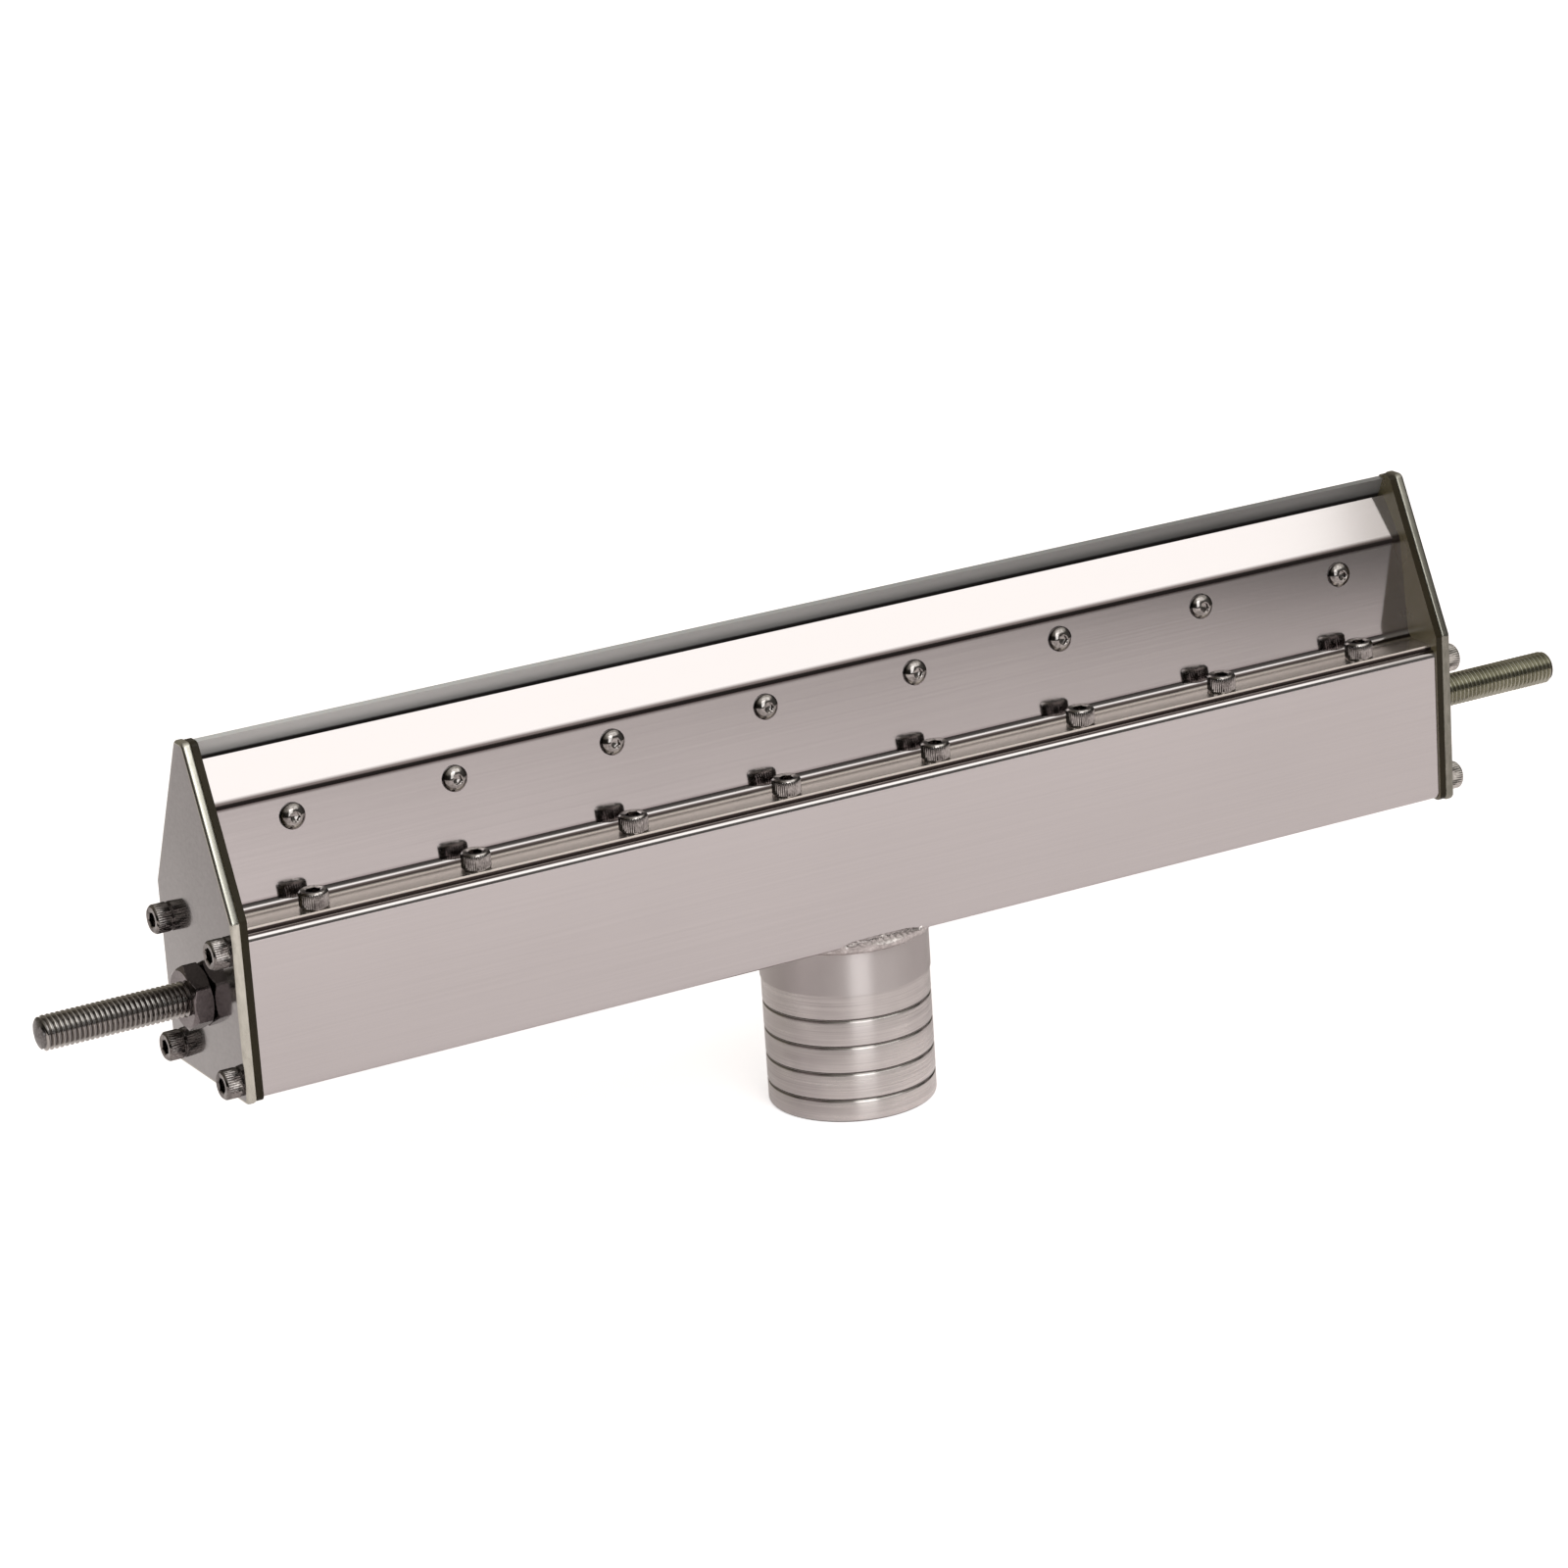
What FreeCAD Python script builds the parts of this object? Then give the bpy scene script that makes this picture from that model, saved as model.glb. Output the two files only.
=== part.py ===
# Compressed air knife: a plenum of folded stainless sheet with a slot nozzle along its top,
# a hose spigot under its middle and a threaded stud at each end.
# Frame: origin at the middle of the spigot's open end, X along the knife, -Y to the front, Z up.
import FreeCAD, Part
import math
import os
import Sketcher

# Driving dimensions, in millimetres and degrees
sizes = {
    "body_length": 397.0,           # folded sheets, between the gaskets
    "body_depth": 48.0,             # front wall to rear wall, outside
    "box_height": 47.4,             # underside to the top of the flange
    "shoulder_height": 51.7,        # underside to the fold of the rear wall
    "rear_lean": 25.5,              # rear lip from upright, towards the front
    "lip_top_setback": 2.2,         # outer top edge of the rear lip, behind the middle plane
    "sheet": 1.5,                   # thickness of both folded sheets
    "fold_radius": 0.6,             # inside radius of the shell's folds
    "flange_width": 13.0,           # top flange, from the front face
    "foot_setback": 2.3,            # front edge of the nozzle plate's foot, behind the front face
    "web_setback": 13.7,            # front of the web at the foot, behind the front face
    "web_height": 30.7,             # foot to the fold of the front lip
    "web_lean": 5.6,                # web from upright, towards the rear
    "lip_lean": 34.4,               # front lip from upright, towards the rear
    "foot_fold_radius": 3.0,        # inside radius between foot and web
    "lip_fold_radius": 1.5,         # inside radius between web and lip
    "slot_gap": 1.5,                # air slot between the two lips
    "screw_pitch": 50.0,            # between foot screws and between lip screws
    "screw_end_room": 8.0,          # least distance of an end screw from the end of the flange bar
    "foot_screw_setback": 6.7,      # foot screws behind the front face
    "lip_screw_rise": 24.0,         # lip screws up the web, from the foot
    "spigot_drop": 54.4,            # underside of the shell above the spigot's open end
    "spigot_radius": 25.0,          # turned land that the hose seats on
    "spigot_land": 39.5,            # height of the land
    "spigot_step": 0.3,             # tube above the land, larger all round
    "spigot_wall": 2.0,             # at the land
    "spigot_end_radius": 1.0,
    "groove_count": 4,
    "groove_pitch": 8.25,
    "groove_first": 6.9,            # middle of the lowest groove, above the open end
    "groove_width": 1.0,
    "groove_depth": 0.5,
    "spigot_clearance": 0.1,        # spigot in the hole of the shell, all round
    "weld_leg": 2.4,
    "plate_thickness": 3.0,
    "plate_proud": 0.9,             # end plates beyond the shell's section
    "plate_corner_radius": 2.0,
    "plate_rim_radius": 0.8,
    "gasket_thickness": 2.0,
    "gasket_inset": 0.3,            # gasket's edge behind the plate's edge
    "stud_radius": 5.0,
    "stud_length": 75.0,
    "stud_reach_left": 49.9,        # beyond the left end plate
    "stud_reach_right": 54.8,       # beyond the right end plate
    "stud_height": 24.9,            # above the underside
    "stud_chamfer": 1.2,
    "nut_flats": 17.0,
    "nut_height": 6.0,
    "cap_screw_radius": 2.5,
    "cap_head_radius": 4.25,
    "cap_head_height": 5.0,
    "cap_head_edge": 0.4,
    "cap_socket_flats": 4.0,
    "cap_socket_depth": 2.6,
    "foot_screw_length": 12.0,
    "plate_screw_length": 16.0,
    "plate_screw_inset": 3.3,       # end plate screws from the inner faces of the shell
    "lip_screw_radius": 2.0,
    "lip_screw_length": 10.0,
    "button_head_radius": 3.8,
    "button_head_height": 2.2,
    "button_head_round": 1.9,
    "button_socket_flats": 2.5,
    "button_socket_depth": 1.3,
    "screw_tip_chamfer": 0.5,
    "hole_clearance": 0.25,         # clearance holes around screws and studs, all round
    "thread_clearance": 0.05,       # tapped holes around screws and studs, all round
    "tap_allowance": 2.0,           # tapped hole beyond the end of its screw
    "bar_width": 10.0,
    "bar_height": 6.0,
    "bar_end_gap": 1.0,             # flange bar from the corner blocks
    "corner_clearance": 0.4,        # bar and blocks from the round inside a fold
    "block_side": 8.0,
    "block_length": 14.0,
    "post_radius": 4.0,
}

doc = FreeCAD.newDocument("air_knife")
sheet = doc.addObject("Spreadsheet::Sheet", "sizes")
for row, (alias, size) in enumerate(sizes.items(), start=1):
    sheet.set(f"A{row}", alias)
    sheet.set(f"B{row}", str(size))
    sheet.setAlias(f"B{row}", alias)
doc.recompute()


def cell(alias):
    return f"sizes.{alias}"


def degrees(alias):
    return f"(sizes.{alias} * 1 deg)"


def number(expression):
    return float(sheet.evalExpression(expression))


# Levels and places that several pieces share, as expressions on the sheet.
# Heights count from the underside of the shell.
half_length = f"{cell('body_length')} / 2"
half_depth = f"{cell('body_depth')} / 2"
inner_half_depth = f"({half_depth} - {cell('sheet')})"
flange_underside = f"({cell('box_height')} - {cell('sheet')})"
foot_top = f"({cell('box_height')} + {cell('sheet')})"
lip_rise = f"(({half_depth} - {cell('lip_top_setback')}) / tan({degrees('rear_lean')}))"
bar_length = f"({cell('body_length')} - 2 * ({cell('block_length')} + {cell('bar_end_gap')}))"
screw_count = f"(floor(({bar_length} - 2 * {cell('screw_end_room')}) / {cell('screw_pitch')}) + 1)"
first_screw = f"(-({screw_count} - 1) / 2 * {cell('screw_pitch')})"
plate_inner = f"({half_length} + {cell('gasket_thickness')})"
plate_outer = f"({plate_inner} + {cell('plate_thickness')})"
web_foot = f"(-{half_depth} + {cell('web_setback')})"
plate_screw_side = f"({inner_half_depth} - {cell('plate_screw_inset')})"
plate_screw_low = f"({cell('sheet')} + {cell('plate_screw_inset')})"
plate_screw_high = f"({flange_underside} - {cell('plate_screw_inset')})"
corner_cut = f"({cell('fold_radius')} + {cell('corner_clearance')})"
cap_hole = f"({cell('cap_screw_radius')} + {cell('hole_clearance')})"
cap_tapped = f"({cell('cap_screw_radius')} + {cell('thread_clearance')})"
tube_radius = f"({cell('spigot_radius')} + {cell('spigot_step')})"


def lip_distance(across, up):
    # distance of a point from the inner face of the rear lip
    lean = degrees("rear_lean")
    out = f"({half_depth} - ({across})) * cos({lean})"
    down = f"(({up}) - {cell('shoulder_height')}) * sin({lean})"
    return f"({out} - {down} - {cell('sheet')})"


# Helpers for bodies, sketches and features

def new_body(label):
    body = doc.addObject("PartDesign::Body", label)
    body.Label = label
    body.AllowCompound = True
    return body


def place(body, x="0", y="0", z="0", axis=None, angle="0"):
    body.setExpression("Placement.Base.x", x)
    body.setExpression("Placement.Base.y", y)
    body.setExpression("Placement.Base.z", f"{cell('spigot_drop')} + ({z})")
    if axis is not None:
        body.Placement.Rotation = FreeCAD.Rotation(axis, number(angle))
        for name, share in zip("xyz", axis):
            body.setExpression(f"Placement.Rotation.Axis.{name}", str(share))
        body.setExpression("Placement.Rotation.Angle", angle)


def new_sketch(body, name, role, lift="0", side="0", rise="0", tilt=None):
    sketch = body.newObject("Sketcher::SketchObject", f"{body.Name}_{name}")
    planes = [feature for feature in body.Origin.OriginFeatures if feature.Role == role]
    sketch.AttachmentSupport = [(planes[0], "")]
    sketch.MapMode = "FlatFace"
    sketch.setExpression("AttachmentOffset.Base.x", side)
    sketch.setExpression("AttachmentOffset.Base.y", rise)
    sketch.setExpression("AttachmentOffset.Base.z", lift)
    if tilt is not None:
        sketch.AttachmentOffset.Rotation = FreeCAD.Rotation(FreeCAD.Vector(1, 0, 0), number(tilt))
        sketch.setExpression("AttachmentOffset.Rotation.Axis.x", "1")
        sketch.setExpression("AttachmentOffset.Rotation.Axis.y", "0")
        sketch.setExpression("AttachmentOffset.Rotation.Axis.z", "0")
        sketch.setExpression("AttachmentOffset.Rotation.Angle", tilt)
    doc.recompute()
    return sketch


def bind_point(sketch, curve, end, across, up):
    for kind, expression in (("DistanceX", across), ("DistanceY", up)):
        index = sketch.addConstraint(Sketcher.Constraint(kind, -1, 1, curve, end, number(expression)))
        sketch.setExpression(f"Constraints[{index}]", expression)


def draw_outline(sketch, corners):
    points = [FreeCAD.Vector(number(across), number(up), 0) for across, up in corners]
    first = sketch.GeometryCount
    count = len(points)
    for index in range(count):
        sketch.addGeometry(Part.LineSegment(points[index], points[(index + 1) % count]), False)
    for index in range(count):
        following = first + (index + 1) % count
        sketch.addConstraint(Sketcher.Constraint("Coincident", first + index, 2, following, 1))
    for index, (across, up) in enumerate(corners):
        bind_point(sketch, first + index, 1, across, up)


def draw_circle(sketch, across, up, radius):
    centre = FreeCAD.Vector(number(across), number(up), 0)
    upright = FreeCAD.Vector(0, 0, 1)
    curve = sketch.addGeometry(Part.Circle(centre, upright, number(radius)), False)
    bind_point(sketch, curve, 3, across, up)
    index = sketch.addConstraint(Sketcher.Constraint("Radius", curve, number(radius)))
    sketch.setExpression(f"Constraints[{index}]", radius)


def draw_hexagon(sketch, flats):
    corner = f"({flats} / 2 / cos(30 deg))"
    turns = range(0, 360, 60)
    draw_outline(sketch, [(f"{corner} * cos({turn} deg)", f"{corner} * sin({turn} deg)") for turn in turns])


def pad(body, sketch, length, symmetric=False):
    feature = body.newObject("PartDesign::Pad", f"{sketch.Name}_pad")
    feature.Profile = sketch
    feature.AllowMultiFace = True
    feature.setExpression("Length", length)
    if symmetric:
        feature.SideType = "Symmetric"
    doc.recompute()
    return feature


def check_cut(body, before, feature):
    if body.Shape.Volume > before - 1e-6:
        raise RuntimeError(f"{feature.Name} cuts nothing")


def pocket(body, sketch, length, symmetric=False):
    before = body.Shape.Volume
    feature = body.newObject("PartDesign::Pocket", f"{sketch.Name}_pocket")
    feature.Profile = sketch
    feature.setExpression("Length", length)
    if symmetric:
        feature.SideType = "Symmetric"
    doc.recompute()
    check_cut(body, before, feature)
    return feature


def revolve(body, sketch):
    feature = body.newObject("PartDesign::Revolution", f"{sketch.Name}_revolution")
    feature.Profile = sketch
    feature.ReferenceAxis = (sketch, ["V_Axis"])
    feature.Angle = 360
    doc.recompute()
    return feature


def groove(body, sketch):
    before = body.Shape.Volume
    feature = body.newObject("PartDesign::Groove", f"{sketch.Name}_groove")
    feature.Profile = sketch
    feature.ReferenceAxis = (sketch, ["V_Axis"])
    feature.Angle = 360
    doc.recompute()
    check_cut(body, before, feature)
    return feature


def row_of(body, sketch, originals, count, spacing, axis="H_Axis"):
    pattern = body.newObject("PartDesign::LinearPattern", f"{sketch.Name}_row")
    if originals:
        pattern.Originals = originals
    else:
        pattern.TransformMode = "Whole shape"
    pattern.Direction = (sketch, [axis])
    pattern.Mode = "Spacing"
    pattern.setExpression("Offset", spacing)
    pattern.setExpression("Occurrences", count)
    body.Tip = pattern
    doc.recompute()
    return pattern


def round_edges(body, feature, edges, radius):
    if not edges:
        raise RuntimeError(f"no edge to round on {feature.Name}")
    blend = body.newObject("PartDesign::Fillet", f"{feature.Name}_round_{len(body.Group)}")
    blend.Base = (feature, edges)
    blend.setExpression("Radius", radius)
    doc.recompute()
    return blend


def bevel_edges(body, feature, edges, size):
    if not edges:
        raise RuntimeError(f"no edge to bevel on {feature.Name}")
    bevel = body.newObject("PartDesign::Chamfer", f"{feature.Name}_bevel_{len(body.Group)}")
    bevel.Base = (feature, edges)
    bevel.setExpression("Size", size)
    doc.recompute()
    return bevel


near = 1e-4     # two places closer than this are the same


def long_edges(feature, corners):
    # straight edges along X that pass through the given places of the section
    spots = [(number(across), number(up)) for across, up in corners]
    names = []
    for index, edge in enumerate(feature.Shape.Edges, start=1):
        box = edge.BoundBox
        if box.YLength > near or box.ZLength > near:
            continue
        if any(math.hypot(box.Center.y - y, box.Center.z - z) < near for y, z in spots):
            names.append(f"Edge{index}")
    return names


def ring_edges(feature, radius, levels):
    # full circles about the local Z axis with this radius, at these levels
    wanted = [number(level) for level in levels]
    names = []
    for index, edge in enumerate(feature.Shape.Edges, start=1):
        curve = edge.Curve
        if not isinstance(curve, Part.Circle) or abs(curve.Radius - number(radius)) > near:
            continue
        on_axis = math.hypot(curve.Center.x, curve.Center.y) < near
        if on_axis and any(abs(curve.Center.z - level) < near for level in wanted):
            names.append(f"Edge{index}")
    return names


def rim_edges(feature, levels):
    # every edge that lies flat in a plane across X at one of these levels
    wanted = [number(level) for level in levels]
    names = []
    for index, edge in enumerate(feature.Shape.Edges, start=1):
        box = edge.BoundBox
        if box.XLength < near and any(abs(box.Center.x - level) < near for level in wanted):
            names.append(f"Edge{index}")
    return names


# Plenum shell: one folded sheet with flange, front wall, bottom, rear wall and rear lip

def build_plenum_shell():
    body = new_body("plenum_shell")
    place(body)
    thick = cell("sheet")
    shoulder = cell("shoulder_height")
    lean = degrees("rear_lean")
    flange_edge = f"-{half_depth} + {cell('flange_width')}"
    top_level = f"{shoulder} + {lip_rise}"
    outer_folds = [
        (f"-{half_depth}", cell("box_height")),
        (f"-{half_depth}", "0"),
        (half_depth, "0"),
        (half_depth, shoulder),
    ]
    inner_folds = [
        (inner_half_depth, f"{shoulder} - {thick} * tan({lean} / 2)"),
        (inner_half_depth, thick),
        (f"-{inner_half_depth}", thick),
        (f"-{inner_half_depth}", flange_underside),
    ]
    lip_end = [
        (cell("lip_top_setback"), top_level),
        (f"{cell('lip_top_setback')} - {thick} * cos({lean})", f"{top_level} - {thick} * sin({lean})"),
    ]
    section = new_sketch(body, "section", "YZ_Plane")
    flange_end = [(flange_edge, flange_underside), (flange_edge, cell("box_height"))]
    draw_outline(section, outer_folds + lip_end + inner_folds + flange_end)
    walls = pad(body, section, cell("body_length"), symmetric=True)
    inside = round_edges(body, walls, long_edges(walls, inner_folds), cell("fold_radius"))
    outside_radius = f"{cell('fold_radius')} + {thick}"
    round_edges(body, inside, long_edges(inside, outer_folds), outside_radius)
    inlet = new_sketch(body, "inlet", "XY_Plane", lift=thick)
    draw_circle(inlet, "0", "0", f"{tube_radius} + {cell('spigot_clearance')}")
    pocket(body, inlet, thick)
    hole = new_sketch(body, "foot_hole", "XY_Plane", lift=cell("box_height"))
    draw_circle(hole, first_screw, f"-{half_depth} + {cell('foot_screw_setback')}", cap_hole)
    cut = pocket(body, hole, thick)
    row_of(body, hole, [cut], screw_count, cell("screw_pitch"))
    return body


# Nozzle plate: one folded sheet with foot, web and front lip.
# The lip is as long as it takes to leave the slot in front of the rear lip.

def build_nozzle_plate():
    body = new_body("nozzle_plate")
    place(body, z=cell("box_height"))
    thick = cell("sheet")
    lean = degrees("web_lean")
    lip_lean = degrees("lip_lean")
    mouth = f"({lip_lean} + {degrees('rear_lean')})"
    foot_edge = f"-{half_depth} + {cell('foot_setback')}"
    fold_y = f"({web_foot} + {cell('web_height')} * tan({lean}))"
    fold_z = f"({thick} + {cell('web_height')})"
    reach = lip_distance(fold_y, f"{fold_z} + {cell('box_height')}")
    lip_length = f"(({reach} - {thick} * cos({mouth}) - {cell('slot_gap')}) / sin({mouth}))"
    tip_y = f"({fold_y} + {lip_length} * sin({lip_lean}))"
    tip_z = f"({fold_z} + {lip_length} * cos({lip_lean}))"
    bend_back = f"{thick} * tan(({lip_lean} - {lean}) / 2)"
    outer_lip_fold = (fold_y, fold_z)
    inner_lip_fold = (
        f"{fold_y} + {thick} * cos({lean}) - {bend_back} * sin({lean})",
        f"{fold_z} - {thick} * sin({lean}) - {bend_back} * cos({lean})",
    )
    inner_foot_fold = (web_foot, thick)
    outer_foot_fold = (
        f"{web_foot} + {thick} * cos({lean}) - {thick} * (1 - sin({lean})) * tan({lean})",
        "0",
    )
    section = new_sketch(body, "section", "YZ_Plane")
    draw_outline(section, [
        (foot_edge, "0"),
        outer_foot_fold,
        inner_lip_fold,
        (f"{tip_y} + {thick} * cos({lip_lean})", f"{tip_z} - {thick} * sin({lip_lean})"),
        (tip_y, tip_z),
        outer_lip_fold,
        inner_foot_fold,
        (foot_edge, thick),
    ])
    walls = pad(body, section, cell("body_length"), symmetric=True)
    foot_radius = cell("foot_fold_radius")
    lip_radius = cell("lip_fold_radius")
    step = round_edges(body, walls, long_edges(walls, [inner_foot_fold]), foot_radius)
    step = round_edges(body, step, long_edges(step, [outer_foot_fold]), f"{foot_radius} + {thick}")
    step = round_edges(body, step, long_edges(step, [inner_lip_fold]), lip_radius)
    round_edges(body, step, long_edges(step, [outer_lip_fold]), f"{lip_radius} + {thick}")
    foot_hole = new_sketch(body, "foot_hole", "XY_Plane", lift=thick)
    draw_circle(foot_hole, first_screw, f"-{half_depth} + {cell('foot_screw_setback')}", cap_hole)
    cut = pocket(body, foot_hole, thick)
    row_of(body, foot_hole, [cut], screw_count, cell("screw_pitch"))
    seat_y = f"{web_foot} + {cell('lip_screw_rise')} * sin({lean})"
    seat_z = f"{thick} + {cell('lip_screw_rise')} * cos({lean})"
    web_hole = new_sketch(
        body, "web_hole", "XZ_Plane", lift=f"-({seat_y})", rise=seat_z, tilt=f"-{lean}")
    draw_circle(web_hole, first_screw, "0", f"{cell('lip_screw_radius')} + {cell('hole_clearance')}")
    cut = pocket(body, web_hole, thick)
    row_of(body, web_hole, [cut], screw_count, cell("screw_pitch"))
    return body


# Hose spigot: a tube let into the bottom of the shell, with a turned and grooved land for the hose

def build_inlet_spigot():
    body = new_body("inlet_spigot")
    place(body, z=f"-{cell('spigot_drop')}")
    outer = cell("spigot_radius")
    inner = f"({outer} - {cell('spigot_wall')})"
    top = f"{cell('spigot_drop')} + {cell('sheet')}"
    wall = new_sketch(body, "wall", "XZ_Plane")
    land = cell("spigot_land")
    draw_outline(wall, [
        (inner, "0"),
        (outer, "0"),
        (outer, land),
        (tube_radius, land),
        (tube_radius, top),
        (inner, top),
    ])
    tube = revolve(body, wall)
    round_edges(body, tube, ring_edges(tube, outer, ["0"]), cell("spigot_end_radius"))
    notch = new_sketch(body, "notch", "XZ_Plane")
    floor = f"{outer} - {cell('groove_depth')}"
    beyond = f"{outer} + {cell('groove_depth')}"
    low = f"{cell('groove_first')} - {cell('groove_width')} / 2"
    high = f"{cell('groove_first')} + {cell('groove_width')} / 2"
    draw_outline(notch, [(floor, low), (beyond, low), (beyond, high), (floor, high)])
    cut = groove(body, notch)
    row_of(body, notch, [cut], cell("groove_count"), cell("groove_pitch"), axis="V_Axis")
    return body


# Weld bead in the corner between the spigot and the underside

def build_inlet_weld():
    body = new_body("inlet_weld")
    place(body)
    inner = tube_radius
    leg = cell("weld_leg")
    bead = new_sketch(body, "bead", "XZ_Plane")
    corner = FreeCAD.Vector(number(inner), 0, 0)
    side = FreeCAD.Vector(number(f"{inner} + {leg}"), 0, 0)
    foot = FreeCAD.Vector(number(inner), -number(leg), 0)
    round_face = Part.Circle(corner, FreeCAD.Vector(0, 0, 1), number(leg))
    bead.addGeometry(Part.LineSegment(foot, corner), False)
    bead.addGeometry(Part.LineSegment(corner, side), False)
    arc = bead.addGeometry(Part.ArcOfCircle(round_face, -math.pi / 2, 0), False)
    bead.addConstraint(Sketcher.Constraint("Coincident", 0, 2, 1, 1))
    bead.addConstraint(Sketcher.Constraint("Coincident", 1, 2, arc, 2))
    bead.addConstraint(Sketcher.Constraint("Coincident", 0, 1, arc, 1))
    bead.addConstraint(Sketcher.Constraint("Coincident", arc, 3, 1, 1))
    bind_point(bead, 1, 1, inner, "0")
    bead.addConstraint(Sketcher.Constraint("Horizontal", 1))
    bead.addConstraint(Sketcher.Constraint("Vertical", 0))
    index = bead.addConstraint(Sketcher.Constraint("Radius", arc, number(leg)))
    bead.setExpression(f"Constraints[{index}]", leg)
    revolve(body, bead)
    return body


# End plates and gaskets: the outline of the knife's section, closed at the front and a little larger

def end_outline(proud):
    lean = degrees("rear_lean")
    side = f"({half_depth} + {proud})"
    shoulder = f"{cell('shoulder_height')} + {proud} * tan({lean} / 2)"
    nose_half = f"({cell('lip_top_setback')} + {proud} / cos({lean}) - {proud} * tan({lean}))"
    nose = f"{cell('shoulder_height')} + {lip_rise} + {proud}"
    return [
        (f"-{side}", f"-{proud}"),
        (side, f"-{proud}"),
        (side, shoulder),
        (nose_half, nose),
        (f"-{nose_half}", nose),
        (f"-{side}", shoulder),
    ]


def build_end_sheet(label, left_face, thickness, proud, stud_hole, rim=None):
    body = new_body(label)
    place(body, x=left_face)
    outline = new_sketch(body, "outline", "YZ_Plane")
    corners = end_outline(proud)
    draw_outline(outline, corners)
    blank = pad(body, outline, thickness)
    step = round_edges(body, blank, long_edges(blank, corners), cell("plate_corner_radius"))
    if rim is not None:
        round_edges(body, step, rim_edges(step, ["0", thickness]), rim)
    holes = new_sketch(body, "holes", "YZ_Plane", lift=thickness)
    draw_circle(holes, "0", cell("stud_height"), stud_hole)
    for side in (plate_screw_side, f"-{plate_screw_side}"):
        for level in (plate_screw_low, plate_screw_high):
            draw_circle(holes, side, level, cap_hole)
    pocket(body, holes, thickness)
    return body


def build_end_plate(label, left_face):
    stud_hole = f"{cell('stud_radius')} + {cell('hole_clearance')}"
    return build_end_sheet(
        label, left_face, cell("plate_thickness"), cell("plate_proud"), stud_hole, cell("plate_rim_radius"))


def build_end_gasket(label, left_face):
    # the stud hole leaves room for the inner nut, which bears on the plate
    nut_hole = f"{cell('nut_flats')} / 2 / cos(30 deg) + {cell('hole_clearance')}"
    proud = f"({cell('plate_proud')} - {cell('gasket_inset')})"
    return build_end_sheet(label, left_face, cell("gasket_thickness"), proud, nut_hole)


# Inner pieces: flange bar, corner blocks and tie posts

def build_flange_bar():
    body = new_body("flange_bar")
    place(body)
    front = f"(-{inner_half_depth})"
    top = flange_underside
    back = f"{front} + {cell('bar_width')}"
    low = f"{top} - {cell('bar_height')}"
    section = new_sketch(body, "section", "YZ_Plane")
    draw_outline(section, [
        (front, low),
        (back, low),
        (back, top),
        (f"{front} + {corner_cut}", top),
        (front, f"{top} - {corner_cut}"),
    ])
    pad(body, section, bar_length, symmetric=True)
    hole = new_sketch(body, "hole", "XY_Plane", lift=top)
    draw_circle(hole, first_screw, f"-{half_depth} + {cell('foot_screw_setback')}", cap_tapped)
    cut = pocket(body, hole, cell("bar_height"))
    row_of(body, hole, [cut], screw_count, cell("screw_pitch"))
    return body


def draw_block(sketch, side, down):
    # a square in a corner of the shell, with its outer corner cut back for the fold
    wall = f"({side} * {inner_half_depth})"
    level = flange_underside if down > 0 else cell("sheet")
    inward = f"{wall} - {side} * {cell('block_side')}"
    past = f"{level} - {down} * {cell('block_side')}"
    draw_outline(sketch, [
        (inward, level),
        (f"{wall} - {side} * {corner_cut}", level),
        (wall, f"{level} - {down} * {corner_cut}"),
        (wall, past),
        (inward, past),
    ])


def build_corner_blocks(label, left_face):
    body = new_body(label)
    place(body, x=left_face)
    section = new_sketch(body, "section", "YZ_Plane")
    for side in (1, -1):
        for down, level in ((1, plate_screw_high), (-1, plate_screw_low)):
            draw_block(section, side, down)
            draw_circle(section, f"{side} * {plate_screw_side}", level, cap_tapped)
    pad(body, section, cell("block_length"))
    return body


def build_tie_posts():
    body = new_body("tie_posts")
    lean = degrees("web_lean")
    mitre = f"({lean} + {degrees('rear_lean')})"
    thick = cell("sheet")
    front_y = f"({web_foot} + {cell('lip_screw_rise')} * sin({lean}) + {thick} * cos({lean}))"
    front_z = f"({foot_top} + {cell('lip_screw_rise')} * cos({lean}) - {thick} * sin({lean}))"
    place(body, first_screw, front_y, front_z, FreeCAD.Vector(1, 0, 0), f"-(90 deg + {lean})")
    reach = f"({lip_distance(front_y, front_z)} / cos({mitre}))"
    radius = cell("post_radius")
    wide = f"({radius} + {thick})"
    stock = f"{reach} + {wide} * tan({mitre})"
    rod = new_sketch(body, "rod", "XY_Plane")
    draw_circle(rod, "0", "0", radius)
    pad(body, rod, stock)
    slant = new_sketch(body, "slant", "YZ_Plane")
    draw_outline(slant, [
        (f"-{wide}", f"{reach} - {wide} * tan({mitre})"),
        (wide, f"{reach} + {wide} * tan({mitre})"),
        (wide, f"{stock} + {wide}"),
        (f"-{wide}", f"{stock} + {wide}"),
    ])
    pocket(body, slant, f"2 * {wide}", symmetric=True)
    depth = f"{cell('lip_screw_length')} - {thick} + {cell('tap_allowance')}"
    hole = new_sketch(body, "hole", "XY_Plane", lift=depth)
    draw_circle(hole, "0", "0", f"{cell('lip_screw_radius')} + {cell('thread_clearance')}")
    pocket(body, hole, depth)
    row_of(body, rod, [], screw_count, cell("screw_pitch"))
    return body


# Fasteners. A screw stands on its seat at the local origin, head up.

def draw_screw(body, shank_radius, length, head_radius, head_height):
    profile = new_sketch(body, "profile", "XZ_Plane")
    tip = cell("screw_tip_chamfer")
    draw_outline(profile, [
        ("0", f"-{length}"),
        (f"{shank_radius} - {tip}", f"-{length}"),
        (shank_radius, f"-{length} + {tip}"),
        (shank_radius, "0"),
        (head_radius, "0"),
        (head_radius, head_height),
        ("0", head_height),
    ])
    return revolve(body, profile)


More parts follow.
